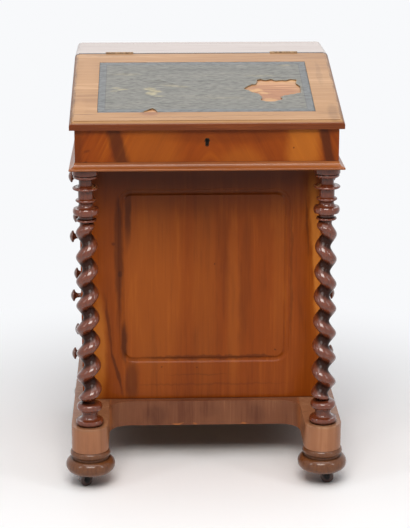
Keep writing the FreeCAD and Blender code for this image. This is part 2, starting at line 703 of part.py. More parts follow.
def make_front_panel():
    panel = block((-BOX_HALF, BOX_HALF), (CASE_FRONT, CASE_IN_FRONT), (CASE_Z, BOX_Z))
    radius, y = band_radius(), band_axis_y()
    low, high = CASE_Z + BAND_BOTTOM, CASE_Z + BAND_TOP
    bend_low, bend_high = low + BAND_CORNER_R, high - BAND_CORNER_R
    straight = BAND_HALF_WIDTH - BAND_CORNER_R
    side = rod(radius, V(BAND_HALF_WIDTH, y, bend_low), V(BAND_HALF_WIDTH, y, bend_high))
    bends = [band_bend(bend_low, radius, -1), band_bend(bend_high, radius, 1)]
    hollows = [rod(radius, V(-straight, y, z), V(straight, y, z)) for z in (low, high)]
    for run in [side] + bends:
        hollows += [run, mirrored(run)]
    save("case_front_panel", panel.cut(hollows))


def rails(x):
    """The cross rails between the drawers, bottom to top, over a span of x."""
    y = (OPENING_FRONT, OPENING_BACK)
    levels = [CASE_Z] + [opening_z(i)[1] for i in range(DRAWERS)]
    tops = [opening_z(i)[0] for i in range(DRAWERS)] + [BOX_Z]
    return [block(x, y, (low, high)) for low, high in zip(levels, tops)]


def stiles(x):
    z = (CASE_Z, BOX_Z)
    return [block(x, (CASE_IN_FRONT, OPENING_FRONT), z), block(x, (OPENING_BACK, BOX_BACK), z)]


def make_case():
    z = (CASE_Z, BOX_Z)
    facing = (-BOX_HALF, PANEL_OUT)
    save("case_left_facing", Part.makeCompound(stiles(facing) + rails(facing)))
    save("case_right_stiles", Part.makeCompound(stiles((STILE_IN, BOX_HALF))))
    save("drawer_rails", Part.makeCompound(rails((BOX_HALF - RAIL_DEPTH, BOX_HALF))))
    save("case_back_panel", block((PANEL_IN, STILE_IN), (CASE_IN_BACK, BOX_BACK), z))
    floor_x = (PANEL_IN, BOX_HALF - RAIL_DEPTH)
    floor = block(floor_x, (CASE_IN_FRONT, CASE_IN_BACK), (CASE_Z, CASE_Z + CASE_FLOOR_THICK))
    save("case_floor", floor)


def runner(index, back):
    """An L-shaped strip that carries and guides one side of a drawer."""
    bearing = opening_z(index)[0]
    low = bearing - DIVIDER if index else CASE_Z + CASE_FLOOR_THICK
    wall = CASE_IN_BACK if back else CASE_IN_FRONT
    guide = OPENING_BACK if back else OPENING_FRONT
    reach = guide + (-1 if back else 1) * (DRAWER_SIDE_GAP + RUNNER_BEARING)
    top = bearing + GUIDE_HEIGHT
    outline = face(in_yz, (wall, low), (reach, low), (reach, bearing), (guide, bearing), (guide, top),
                   (wall, top))
    return extrude_x(outline, (PANEL_IN, BOX_HALF - RAIL_DEPTH))


def make_runners():
    pairs = [(index, back) for index in range(DRAWERS) for back in (False, True)]
    save("drawer_runners", Part.makeCompound([runner(index, back) for index, back in pairs]))


# ---------------------------------------------------------------- drawers
def drawer_front(index, x):
    low, high = opening_z(index)
    gap = DRAWER_FRONT_GAP
    return block(x, (OPENING_FRONT + gap, OPENING_BACK - gap), (low + gap, high - gap))


def knob():
    """A turned mushroom knob that points along +Z from its seat, with its pin below."""
    head_low = KNOB_OUT - KNOB_HEAD
    dome_low = KNOB_OUT - KNOB_DOME
    waist = (KNOB_BASE_THICK + head_low) / 2
    edge = KNOB_R - KNOB_EDGE
    base_hollow = midway((KNOB_BASE_R, waist), (KNOB_NECK_R, KNOB_BASE_THICK))
    head_hollow = midway((edge, waist), (KNOB_NECK_R, head_low))
    return turned((0, -KNOB_PIN_LENGTH), (KNOB_PIN_R, -KNOB_PIN_LENGTH), (KNOB_PIN_R, 0), (KNOB_BASE_R, 0),
                  (KNOB_BASE_R, KNOB_BASE_THICK), (base_hollow, (KNOB_NECK_R, waist)),
                  (head_hollow, (edge, head_low)), ((KNOB_R, (head_low + dome_low) / 2), (edge, dome_low)),
                  ((KNOB_R / 2, KNOB_OUT - KNOB_CROWN), (KNOB_TIP_R, KNOB_OUT)), (0, KNOB_OUT))


def knob_places(index, side):
    """The two knobs of a drawer front; side is +1 on the right of the desk and -1 on the left."""
    low, high = opening_z(index)
    knobs = []
    for y in (DRAWER_MID_Y - KNOB_SPACING / 2, DRAWER_MID_Y + KNOB_SPACING / 2):
        one = knob()
        one.rotate(V(0, 0, 0), Y_AXIS, 90 * side)
        knobs.append(moved(one, side * BOX_HALF, y, (low + high) / 2))
    return knobs


def knob_bores(index, side, depth):
    low, high = opening_z(index)
    bores = []
    for y in (DRAWER_MID_Y - KNOB_SPACING / 2, DRAWER_MID_Y + KNOB_SPACING / 2):
        mouth = V(side * BOX_HALF, y, (low + high) / 2)
        bores.append(rod(KNOB_PIN_R + KNOB_PIN_CLEAR, mouth, mouth - V(side * depth, 0, 0)))
    return bores


def drawer_tray(index):
    """Sides, back and bottom of a drawer: four boards."""
    low, high = opening_z(index)
    x_back = PANEL_IN + DRAWER_STOP_GAP
    x_front = BOX_HALF - DRAWER_FRONT_THICK
    y0 = OPENING_FRONT + DRAWER_SIDE_GAP
    y1 = OPENING_BACK - DRAWER_SIDE_GAP
    z = (low + DRAWER_RUN_GAP, high - DRAWER_TOP_GAP)
    inner = (y0 + DRAWER_SIDE_THICK, y1 - DRAWER_SIDE_THICK)
    bottom_z = low + DRAWER_BOTTOM_RAISE
    bottom = block((x_back, x_front), inner, (bottom_z, bottom_z + DRAWER_BOTTOM_THICK))
    back_z = (bottom_z + DRAWER_BOTTOM_THICK, z[1] - DRAWER_BACK_DROP)
    back = block((x_back, x_back + DRAWER_SIDE_THICK), inner, back_z)
    sides = [block((x_back, x_front), (y0, inner[0]), z), block((x_back, x_front), (inner[1], y1), z)]
    return Part.makeCompound(sides + [back, bottom])


def make_drawers():
    """Drawer 1 is the top one. The left side of the desk carries false fronts to match."""
    false_fronts = []
    false_knobs = []
    for index in range(DRAWERS):
        name = "drawer_" + str(DRAWERS - index)
        front = drawer_front(index, (BOX_HALF - DRAWER_FRONT_THICK, BOX_HALF))
        pin_depth = KNOB_PIN_LENGTH + KNOB_PIN_CLEAR
        save(name + "_front", front.cut(knob_bores(index, 1, pin_depth)))
        save(name + "_tray", drawer_tray(index))
        save(name + "_knobs", Part.makeCompound(knob_places(index, 1)))
        false_front = drawer_front(index, (-BOX_HALF, PANEL_OUT))
        false_fronts.append(false_front.cut(knob_bores(index, -1, SIDE_FACING_THICK)))
        false_knobs += knob_places(index, -1)
    save("dummy_drawer_fronts", Part.makeCompound(false_fronts))
    save("dummy_drawer_knobs", Part.makeCompound(false_knobs))
    panel = block((PANEL_OUT, PANEL_IN), (CASE_IN_FRONT, BOX_BACK), (CASE_Z, BOX_Z))
    for index in range(DRAWERS):
        panel = panel.cut(knob_bores(index, -1, KNOB_PIN_LENGTH + KNOB_PIN_CLEAR))
    save("case_left_panel", panel)


# ---------------------------------------------------------------- plinth
def spigots(radius, length, places, z, direction):
    """Bores or pins of one size, at several places."""
    return Part.makeCompound([rod(radius, V(x, y, z), V(x, y, z + direction * length)) for x, y in places])


def column_spigots(grow):
    """Bores for the spigots on the heads of the columns."""
    places = [FEET["front_left"], FEET["front_right"]]
    return spigots(COLUMN_SPIGOT_R + grow, COLUMN_SPIGOT_LENGTH + grow, places, BOX_Z, 1)


def make_plinth():
    z = (PLINTH_Z, CASE_Z)
    left, right = ARM_INNER, ARM_INNER + ARM_WIDTH
    rear_corner = midway((ARM_X, FOOT_REAR_Y), (right, PLINTH_BACK))
    outline = face(in_xy, (left, PLINTH_BACK), (left, FOOT_FRONT_Y),
                   ((ARM_X, FOOT_FRONT_Y - ARM_WIDTH / 2), (right, FOOT_FRONT_Y)), (right, FOOT_REAR_Y),
                   (rear_corner, (ARM_X, PLINTH_BACK)))
    arm = extrude_z(outline, z)
    foot_bores = [(ARM_X, FOOT_FRONT_Y), (ARM_X, FOOT_REAR_Y)]
    foot_bore_depth = SPIGOT_LENGTH + SPIGOT_CLEAR
    arm = arm.cut(spigots(SPIGOT_R + SPIGOT_CLEAR, foot_bore_depth, foot_bores, PLINTH_Z, 1))
    column_bore = [FEET["front_right"]]
    bore_depth = COLUMN_SPIGOT_LENGTH + SPIGOT_CLEAR
    arm = arm.cut(spigots(COLUMN_SPIGOT_R + SPIGOT_CLEAR, bore_depth, column_bore, CASE_Z, -1))
    save("plinth_arm_right", arm)
    save("plinth_arm_left", mirrored(arm))
    rail_front = CASE_FRONT - PLINTH_LEDGE
    rail_back = rail_front + PLINTH_RAIL_DEPTH
    cove_x, cove_y = ARM_INNER - COVE_R, rail_front - COVE_R
    right_cove = midway((cove_x, cove_y), (ARM_INNER, rail_front))
    left_cove = midway((-cove_x, cove_y), (-ARM_INNER, rail_front))
    rail = face(in_xy, (-ARM_INNER, rail_back), (-ARM_INNER, cove_y), (left_cove, (-cove_x, rail_front)),
                (cove_x, rail_front), (right_cove, (ARM_INNER, cove_y)), (ARM_INNER, rail_back))
    save("plinth_front_rail", extrude_z(rail, z))
    back_y = (PLINTH_BACK - PLINTH_RAIL_DEPTH, PLINTH_BACK)
    save("plinth_back_rail", block((-ARM_INNER, ARM_INNER), back_y, z))


# ---------------------------------------------------------------- feet and castors
def make_feet():
    plate_top = FOOT_Z + SOCKET_PLATE_THICK
    head_top = SWIVEL_HEAD_Z + SWIVEL_HEAD_THICK + SWIVEL_THRUST_GAP
    widest = FOOT_Z + BUN_WIDEST
    bun_top = FOOT_Z + BUN_TOP
    bead_low = PLINTH_Z - FOOT_BEAD
    under = midway((BUN_FOOT_R, widest), (BUN_R, FOOT_Z))
    over = midway((FOOT_NECK_R, widest), (BUN_R, bun_top))
    bead = (FOOT_BEAD_R, PLINTH_Z - FOOT_BEAD / 2)
    foot = turned((0, head_top), (SOCKET_BOSS_R, head_top), (SOCKET_BOSS_R, plate_top),
                  (SOCKET_PLATE_R, plate_top), (SOCKET_PLATE_R, FOOT_Z),
                  (BUN_FOOT_R, FOOT_Z), (under, (BUN_R, widest)),
                  (over, (FOOT_NECK_R, bun_top)), (FOOT_NECK_R, bead_low),
                  (bead, (FOOT_NECK_R, PLINTH_Z)), (SPIGOT_R, PLINTH_Z),
                  (SPIGOT_R, PLINTH_Z + SPIGOT_LENGTH), (0, PLINTH_Z + SPIGOT_LENGTH))
    for name, (x, y) in FEET.items():
        save("foot_" + name, moved(foot, x, y))


def castor_socket():
    plate = rod(SOCKET_PLATE_R, V(0, 0, FOOT_Z), V(0, 0, FOOT_Z + SOCKET_PLATE_THICK))
    boss = rod(SOCKET_BOSS_R, V(0, 0, FOOT_Z), V(0, 0, SOCKET_TOP))
    bore = rod(SWIVEL_R + SWIVEL_CLEAR, V(0, 0, 0), V(0, 0, 2 * SOCKET_TOP))
    return plate.fuse(boss).cut(bore).removeSplitter()


def castor_horn():
    """Crown with its swivel pin and two ears that hold the axle."""
    top = CROWN_Z + HORN_CROWN_THICK
    crown = rod(HORN_CROWN_R, V(0, 0, CROWN_Z), V(0, 0, top))
    pin = rod(SWIVEL_R, V(0, 0, CROWN_Z), V(0, 0, SWIVEL_HEAD_Z))
    head = rod(SWIVEL_HEAD_R, V(0, 0, SWIVEL_HEAD_Z), V(0, 0, SWIVEL_HEAD_Z + SWIVEL_HEAD_THICK))
    inner = WHEEL_WIDTH / 2 + WHEEL_SIDE_GAP
    ear_end = ((TRAIL, WHEEL_R - HORN_EAR_R), (TRAIL + HORN_EAR_R, WHEEL_R))
    ear_face = face(in_xz, (TRAIL - HORN_EAR_R, WHEEL_R), ear_end, (HORN_CROWN_R, top),
                    (-HORN_CROWN_R / 2, top))
    ear = ear_face.extrude(V(0, HORN_THICK, 0))
    horn = crown.fuse([pin, head, moved(ear, y=inner), moved(ear, y=-inner - HORN_THICK)])
    reach = V(0, HORN_CROWN_R, 0)
    axle_centre = V(TRAIL, 0, WHEEL_R)
    return horn.cut(rod(AXLE_R, axle_centre - reach, axle_centre + reach)).removeSplitter()


def castor_axle():
    half = WHEEL_WIDTH / 2 + WHEEL_SIDE_GAP + HORN_THICK + AXLE_RIVET
    shaft = rod(AXLE_R, V(TRAIL, -half, WHEEL_R), V(TRAIL, half, WHEEL_R))
    inner = half - AXLE_RIVET
    head = rod(AXLE_R + AXLE_RIVET, V(TRAIL, inner, WHEEL_R), V(TRAIL, half, WHEEL_R))
    other_head = moved(head, y=-inner - half)
    return shaft.fuse([head, other_head]).removeSplitter()


def castor_wheel():
    half = WHEEL_WIDTH / 2
    edge = WHEEL_R - WHEEL_EDGE_R
    shoulder = half - WHEEL_EDGE_R
    bore = AXLE_R + AXLE_CLEAR
    wheel = turned((bore, -half), (edge, -half),
                   (midway((edge, -shoulder), (WHEEL_R, -half)), (WHEEL_R, -shoulder)), (WHEEL_R, shoulder),
                   (midway((edge, shoulder), (WHEEL_R, half)), (edge, half)), (bore, half))
    wheel.rotate(V(0, 0, 0), X_AXIS, 90)
    return moved(wheel, TRAIL, 0, WHEEL_R)


def make_castors():
    sockets = []
    for name, (x, y) in FEET.items():
        sockets.append(moved(castor_socket(), x, y))
        horn = Part.makeCompound([castor_horn(), castor_axle()])
        for piece, shape in (("horn", horn), ("wheel", castor_wheel())):
            shape.rotate(V(0, 0, 0), Z_AXIS, CASTOR_ANGLES[name])
            save("castor_" + piece + "_" + name, moved(shape, x, y))
    save("castor_sockets", Part.makeCompound(sockets))


# ---------------------------------------------------------------- barley-twist columns
def strand_radius(angle, crest, fade):
    """Section of the twist: full at the crest of its one strand, narrow in the hollow, round at its ends."""
    share = (1 + math.cos(angle)) / 2
    strand = TWIST_ROOT_R + (crest - TWIST_ROOT_R) * share ** TWIST_FULLNESS
    return TWIST_NECK_R + (strand - TWIST_NECK_R) * fade


def twist_ring(side, z, length):
    """Corners of the section at one height of the twist of the left or right column."""
    to_end = min(z, length - z)
    fade = math.sin(math.pi / 2 * min(1.0, to_end / TWIST_RUNOUT))
    turn = math.radians(TWIST_START[side]) - 2 * math.pi * z / TWIST_PITCH[side]
    crest = TWIST_FOOT_R + (TWIST_TOP_R - TWIST_FOOT_R) * z / length
    ring = []
    for k in range(TWIST_SIDES):
        angle = 2 * math.pi * k / TWIST_SIDES
        radius = strand_radius(angle, crest, fade)
        ring.append(V(radius * math.cos(angle + turn), radius * math.sin(angle + turn), z))
    return ring


def facet(*corners):
    return Part.Face(Part.makePolygon(list(corners) + [corners[0]]))


def twist(side, length):
    """A single strand that winds upwards, as a closed skin of flat facets."""
    steps = round(TWIST_STEPS_PER_TURN * length / TWIST_PITCH[side])
    rings = [twist_ring(side, length * step / steps, length) for step in range(steps + 1)]
    skin = [facet(*rings[0]), facet(*rings[-1])]
    for low, high in zip(rings, rings[1:]):
        for k in range(TWIST_SIDES):
            after = (k + 1) % TWIST_SIDES
            skin.append(facet(low[k], low[after], high[k]))
            skin.append(facet(low[after], high[after], high[k]))
    solid = Part.makeSolid(Part.makeShell(skin))
    if solid.Volume < 0:
        solid.reverse()
    return solid


def column_base():
    """Turned base: torus, hollow neck, collar and the ring that the twist springs from."""
    torus = BASE_TORUS_R - COLUMN_EDGE
    hollow = BASE_TORUS + BASE_HOLLOW
    collar = hollow + BASE_NECK
    ring = collar + BASE_COLLAR
    ring_mid = (ring + COLUMN_BASE) / 2
    shoulder = COLUMN_BASE - COLUMN_EDGE
    return turned((0, -COLUMN_SPIGOT_LENGTH), (COLUMN_SPIGOT_R, -COLUMN_SPIGOT_LENGTH), (COLUMN_SPIGOT_R, 0),
                  (torus, 0), ((BASE_TORUS_R, BASE_TORUS / 2), (torus, BASE_TORUS)),
                  (midway((torus, hollow), (BASE_NECK_R, BASE_TORUS)), (BASE_NECK_R, hollow)),
                  (BASE_NECK_R, collar - COLUMN_EDGE), (BASE_COLLAR_R, collar), (BASE_COLLAR_R, ring),
                  ((BASE_RING_R, ring_mid), (BASE_COLLAR_R, shoulder)), (COLUMN_SEAT_R, COLUMN_BASE),
                  (0, COLUMN_BASE))


def head_levels():
    """Heights between the members of the turned head, measured down from the box."""
    levels = [0.0]
    for member in HEAD_MEMBERS:
        levels.append(levels[-1] - member)
    return levels[1:]


def column_head():
    """Turned head, measured down from the box: abacus, bead, drum, disc, shaft, ring, vase and collar."""
    (abacus, bead, drum, flare, disc, undercut, shaft, ring,
     hollow, vase_flare, vase, taper, neck, collar) = head_levels()
    edge = COLUMN_EDGE
    seat = COLUMN_SEAT_R
    abacus_r = HEAD_ABACUS_R - edge
    bead_r = HEAD_BEAD_R - 2 * edge
    disc_r = HEAD_DISC_R - edge
    ring_r = HEAD_RING_R - edge
    vase_r = HEAD_VASE_R - edge
    collar_r = HEAD_COLLAR_R - edge
    return turned((0, COLUMN_SPIGOT_LENGTH), (COLUMN_SPIGOT_R, COLUMN_SPIGOT_LENGTH), (COLUMN_SPIGOT_R, 0),
                  (abacus_r, 0), (midway((abacus_r, -edge), (HEAD_ABACUS_R, 0)), (HEAD_ABACUS_R, -edge)),
                  (HEAD_ABACUS_R, abacus), (bead_r, abacus),
                  ((HEAD_BEAD_R, (abacus + bead) / 2), (bead_r, bead)),
                  (HEAD_DRUM_R, bead), (HEAD_DRUM_R, drum),
                  (midway((disc_r, drum), (HEAD_DRUM_R, flare)), (disc_r, flare)),
                  ((HEAD_DISC_R, (flare + disc) / 2), (disc_r, disc)),
                  (midway((disc_r, undercut), (seat, disc)), (seat, undercut)), (seat, shaft + edge),
                  (ring_r, shaft), ((HEAD_RING_R, (shaft + ring) / 2), (ring_r, ring)),
                  (midway((ring_r, hollow), (HEAD_HOLLOW_R, ring)), (HEAD_HOLLOW_R, hollow)),
                  (midway((vase_r, hollow), (HEAD_HOLLOW_R, vase_flare)), (vase_r, vase_flare)),
                  ((HEAD_VASE_R, (vase_flare + vase) / 2), (vase_r, vase)),
                  (midway((vase_r, taper), (seat, vase)), (seat, taper)), (seat, neck + edge),
                  (collar_r, neck), ((HEAD_COLLAR_R, (neck + collar) / 2), (collar_r, collar + edge)),
                  (seat, collar), (0, collar))


def column(side):
    length = CASE_HEIGHT - COLUMN_BASE - COLUMN_HEAD
    shaft = moved(twist(side, length), z=COLUMN_BASE)
    whole = shaft.fuse([column_base(), moved(column_head(), z=CASE_HEIGHT)])
    x, y = FEET["front_right"]
    return moved(whole, x, y, CASE_Z)


def make_columns():
    """The left column winds the other way."""
    save("column_right", column("right"))
    save("column_left", mirrored(column("left")))


# ---------------------------------------------------------------- the whole desk
os.makedirs("parts", exist_ok=True)
make_plinth()
make_feet()
make_castors()
make_columns()
make_front_panel()
make_case()
make_runners()
make_drawers()
make_box()
make_rack()
make_inner_drawers()
make_moulding()
make_slab()
make_lid()
make_hinges()
make_lock()
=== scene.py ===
# %% [markdown]
# # A davenport desk
# A davenport is a small writing desk of the Victorian age: a sloping box on a pedestal of drawers, with its
# front carried on two columns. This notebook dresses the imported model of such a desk. The joiner's work is
# already there, so the lesson is about surfaces: polished walnut, worn leather, old brass, and one main shape
# made by rule, the barley twist.

# %% Load the frame
import math

import bmesh
import bpy
from mathutils import Matrix, Vector, noise
from mathutils.geometry import delaunay_2d_cdt


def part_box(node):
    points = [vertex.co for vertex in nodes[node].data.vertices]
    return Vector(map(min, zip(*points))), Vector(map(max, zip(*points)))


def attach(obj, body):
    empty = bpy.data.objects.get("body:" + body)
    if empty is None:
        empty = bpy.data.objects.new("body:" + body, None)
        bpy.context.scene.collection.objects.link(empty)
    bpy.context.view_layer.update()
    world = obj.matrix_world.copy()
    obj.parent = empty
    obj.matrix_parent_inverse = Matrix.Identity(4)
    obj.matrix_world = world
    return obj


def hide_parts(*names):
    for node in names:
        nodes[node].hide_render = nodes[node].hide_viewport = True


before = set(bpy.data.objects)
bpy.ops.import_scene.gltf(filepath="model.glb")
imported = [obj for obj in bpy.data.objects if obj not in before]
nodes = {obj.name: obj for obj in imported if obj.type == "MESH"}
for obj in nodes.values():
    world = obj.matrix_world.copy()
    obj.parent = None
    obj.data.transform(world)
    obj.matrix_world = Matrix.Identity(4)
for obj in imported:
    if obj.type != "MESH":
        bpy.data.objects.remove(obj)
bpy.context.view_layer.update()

MM = 0.001
AXES = "XYZ"

# %% [markdown]
# ## Colours and nodes
# Colours are easiest to judge on a screen, so they are written as sRGB hex and turned to linear by one
# function. A second function adds a node: its sockets get either a value or a link, which keeps each material
# below short enough to read as a recipe. The others are small steps that many recipes share: arithmetic, a
# change of range, a ramp of colours, one colour over another, a dented surface.

# %% Colour and node helpers
def srgb(code):
    """A linear colour from an sRGB hex code."""
    parts = [int(code[i:i + 2], 16) / 255 for i in (1, 3, 5)]
    return tuple(c / 12.92 if c <= 0.04045 else ((c + 0.055) / 1.055) ** 2.4 for c in parts) + (1.0,)


def add(tree, kind, sockets=None, **settings):
    """Adds a node. settings are properties; sockets maps an input's name or number to a value or a link."""
    made = tree.nodes.new(kind)
    for name, value in settings.items():
        setattr(made, name, value)
    for key, value in (sockets or {}).items():
        if isinstance(value, bpy.types.NodeSocket):
            tree.links.new(value, made.inputs[key])
        else:
            made.inputs[key].default_value = value
    return made


def field(tree, operation, first, second=0.0, third=0.0):
    """One step of arithmetic."""
    return add(tree, "ShaderNodeMath", {0: first, 1: second, 2: third}, operation=operation).outputs[0]


def remap(tree, value, start, end, low=0.0, high=1.0, kind="LINEAR"):
    """Turns start..end into low..high and holds it there beyond the ends."""
    return add(tree, "ShaderNodeMapRange", {"Value": value, "From Min": start, "From Max": end, "To Min": low,
                                            "To Max": high}, interpolation_type=kind).outputs[0]


def ramp(tree, factor, *stops):
    """A smooth colour ramp from (position, hex code) stops."""
    made = add(tree, "ShaderNodeValToRGB", {"Fac": factor})
    made.color_ramp.interpolation = "EASE"
    elements = made.color_ramp.elements
    while len(elements) < len(stops):
        elements.new(0.5)
    for element, (position, code) in zip(elements, stops):
        element.position = position
        element.color = srgb(code)
    return made.outputs["Color"]


def mixed(tree, amount, below, above, how="MIX"):
    """One colour laid over another. A hex code or a link does for each."""
    codes = {6: below, 7: above}
    sockets = {key: srgb(value) if isinstance(value, str) else value for key, value in codes.items()}
    return add(tree, "ShaderNodeMix", {0: amount, **sockets}, data_type="RGBA", blend_type=how).outputs[2]


def new_material(name, **surface):
    """A material with a Principled shader whose sockets are set by name, with _ for a space."""
    material = bpy.data.materials.new(name)
    material.use_nodes = True
    tree = material.node_tree
    shader = tree.nodes["Principled BSDF"]
    for key, value in surface.items():
        shader.inputs[key.replace("_", " ")].default_value = value
    return material, tree, shader


def dent(tree, shader, height, strength, distance, *also):
    """Dents a surface by a height, up to `distance` mm. also names any further normals to dent."""
    bump = add(tree, "ShaderNodeBump", {"Height": height, "Strength": strength, "Distance": distance * MM})
    for name in ("Normal", *also):
        tree.links.new(bump.outputs[0], shader.inputs[name])


def dress(material, *names):
    """Gives a CAD node, or several, one material."""
    for name in names:
        mesh = nodes[name].data
        mesh.materials.clear()
        mesh.materials.append(material)


print("walnut brown as linear light:", [round(c, 3) for c in srgb("#8a4517")])

# %% [markdown]
# ## Grain and marks
# Wood is a stack of long fibres, so every pattern in it is a noise that is stretched along the grain. What
# makes one board unlike another is where its dark heartwood, pale sapwood and knots lie. Those are given
# as soft-edged ellipses, and a second noise pushes their outlines about until nothing looks drawn.

# %% Grain and marks
FAR = 1e4                     # mm, a radius that no board reaches
MARK_EDGE = 0.6               # share of an ellipse's radius over which a mark fades


def stretched(tree, grain, across, along, shift=0.0, place=None):
    """Places scaled so that one unit is `across` mm across the grain and `along` mm along it."""
    scale = [1 / (across * MM)] * 3
    scale[AXES.index(grain)] = 1 / (along * MM)
    if place is None:
        place = add(tree, "ShaderNodeTexCoord").outputs["Object"]
    return add(tree, "ShaderNodeMapping", {"Vector": place, "Scale": scale,
                                           "Location": (shift,) * 3}).outputs[0]


def grain_noise(tree, grain, across, along, shift=0.0, place=None, **sockets):
    """A noise stretched along the grain. sockets are the noise's own."""
    vector = stretched(tree, grain, across, along, shift, place)
    return add(tree, "ShaderNodeTexNoise", {"Vector": vector, "Scale": 1.0, **sockets})


def marks(tree, spots, plane="XZ", wander=6):
    """A mask of soft ellipses, each (across, up, half width, half height, lean to the right, strength)."""
    place = add(tree, "ShaderNodeTexCoord").outputs["Object"]
    drift = grain_noise(tree, plane[1], 14, 40, Detail=3.0)
    moved = add(tree, "ShaderNodeVectorMath",
                {0: drift.outputs["Color"], 1: (2 * wander * MM,) * 3, 2: place},
                operation="MULTIPLY_ADD").outputs[0]
    mask = 0.0
    for across, up, half_width, half_height, lean, strength in spots:
        centre = {plane[0]: across, plane[1]: up}
        radius = {plane[0]: half_width, plane[1]: half_height}
        turn = math.radians(lean)
        spot = add(tree, "ShaderNodeMapping", {
            "Vector": moved, "Location": [(centre.get(axis, 0.0) + wander) * MM for axis in AXES],
            "Rotation": (0.0, turn, 0.0) if plane == "XZ" else (0.0, 0.0, -turn),
            "Scale": [radius.get(axis, FAR) * MM for axis in AXES]}, vector_type="TEXTURE")
        ball = add(tree, "ShaderNodeTexGradient", {0: spot.outputs[0]}, gradient_type="SPHERICAL")
        soft = remap(tree, ball.outputs["Fac"], 0.0, MARK_EDGE, 0.0, strength, "SMOOTHSTEP")
        mask = field(tree, "MAXIMUM", mask, soft)
    return mask


print("grain and marks ready")

# %% [markdown]
# ## French-polished walnut
# Walnut veneer, filled and rubbed with shellac: a warm brown wood under a clear film. Three noises stretched
# along the grain give the figure (a hand wide), the streaks (a finger wide) and the fibres (hair fine, drawn
# a little coarser here so that they show). The film is the shader's coat; the wood under it hardly shines, so
# its own specular level is low. Shellac sinks into the pores as it ages, so the fibres also roughen and dent
# the surface a little. A board may have paler tones near one plane that faces up: the lid's, the level top's,
# the plinth arms'. On the lid and the level top these are partly fading and partly a painted sheen of the
# film.
# An ambient occlusion node darkens inner corners towards the veins' colour: partly grime, partly painted
# shade.

# %% Polished wood
FIBRE = (2.8, 50)             # mm across and along the grain
STREAK = (8, 260)
STREAK_SHARE = 0.42           # of the streaks in a board's tone, beside the wide figure
FIBRE_SHARE = 0.17            # of the fibres in it, beside both
TONE_STOPS = (0.34, 0.5, 0.64)          # of the noise, where the dark, middle and light tones lie
BARE_STOPS = (0.42, 0.5, 0.58)
BARE_TONES = ("#7e4c34", "#a06a42", "#c08e62")
SPLINTER = "#c99c64"
# Reach of the darkening in inner corners, which is partly grime and partly painted shade.
GRIME_AND_SHADE_REACH = 7               # mm from an inner corner
# The paler tones near an upward face; on the lid and the level top they are partly fading, partly painted
# sheen.
PALER_FACE_EDGE = (1.0, 5.0)         # mm below a bleached face: still pale, and brown again


def paler_near_face(tree, value, tones, normal, height):
    """Paler colours and a mask for them: 1 on the plane at `height` metres along `normal`, 0 below it."""
    place = add(tree, "ShaderNodeTexCoord").outputs["Object"]
    level = add(tree, "ShaderNodeVectorMath", {0: place, 1: normal}, operation="DOT_PRODUCT").outputs["Value"]
    depth = field(tree, "SUBTRACT", height, level)
    mask = remap(tree, depth, PALER_FACE_EDGE[0] * MM, PALER_FACE_EDGE[1] * MM, 1.0, 0.0, "SMOOTHSTEP")
    return mask, ramp(tree, value, *zip(TONE_STOPS, tones))


def polished_wood(name, grain, tones, shift=0.0, figure=(70, 420), dark=(), pale=(), plane="XZ", bend=None,
                  paler_face=None, bare=(), seams_and_gap_shade=(), roughness=0.36, coat=0.15):
    """Veneer with its grain along one axis. tones are hex codes: veins, then dark to light, then sapwood.
    dark, pale and seams are marks, and bare is two lists of them: bare wood, and the splinters in it."""
    material, tree, shader = new_material(name, IOR=1.5, Specular_IOR_Level=0.06, Coat_Weight=coat,
                                          Coat_Roughness=0.18, Coat_IOR=1.52)
    place = bend(tree) if bend else None
    wide = grain_noise(tree, grain, *figure, shift, place, Detail=3.0, Roughness=0.55, Distortion=0.7)
    streak = grain_noise(tree, grain, *STREAK, shift, place, Detail=4.0, Roughness=0.6)
    fibre = grain_noise(tree, grain, *FIBRE, shift, place, Detail=2.0, Roughness=0.5).outputs[0]
    board = add(tree, "ShaderNodeMix", {0: STREAK_SHARE, 2: wide.outputs[0], 3: streak.outputs[0]})
    value = add(tree, "ShaderNodeMix", {0: FIBRE_SHARE, 2: board.outputs[0], 3: fibre}).outputs[0]
    vein, *body, sapwood = tones
    colour = ramp(tree, value, *zip(TONE_STOPS, body))
    shown = 1.0
    if paler_face:
        shown, paler_colour = paler_near_face(tree, value, *paler_face)
        colour = mixed(tree, shown, colour, paler_colour)
    if pale:
        colour = mixed(tree, field(tree, "MULTIPLY", marks(tree, pale, plane), shown), colour, sapwood)
    if dark:
        colour = mixed(tree, field(tree, "MULTIPLY", marks(tree, dark, plane), shown), colour, vein)
    if bare:
        open_wood, splinters = bare
        under = ramp(tree, value, *zip(BARE_STOPS, BARE_TONES))
        colour = mixed(tree, field(tree, "MULTIPLY", marks(tree, open_wood, plane, 0), shown), colour, under)
        split = field(tree, "MULTIPLY", marks(tree, splinters, plane, 8), shown)
        colour = mixed(tree, split, colour, SPLINTER)
    if seams_and_gap_shade:
        colour = mixed(tree, marks(tree, seams_and_gap_shade, plane, 0), colour, vein)
    # Inner corners are darkened towards the vein colour by an ambient occlusion node: partly grime, partly
    # painted shade.
    crevice = add(tree, "ShaderNodeAmbientOcclusion", {"Distance": GRIME_AND_SHADE_REACH * MM}, samples=8)
    grime_and_shade = remap(tree, crevice.outputs["AO"], 0.35, 0.9, 0.6, 0.0)
    tree.links.new(mixed(tree, grime_and_shade, colour, vein), shader.inputs["Base Color"])
    rough = remap(tree, fibre, 0.0, 1.0, roughness + 0.08, roughness - 0.08)
    tree.links.new(rough, shader.inputs["Roughness"])
    ripple = grain_noise(tree, grain, 38, 90, shift)
    relief = add(tree, "ShaderNodeMix", {0: 0.1, 2: ripple.outputs[0], 3: fibre})
    dent(tree, shader, relief.outputs[0], 0.4, 0.4, "Coat Normal")
    return material


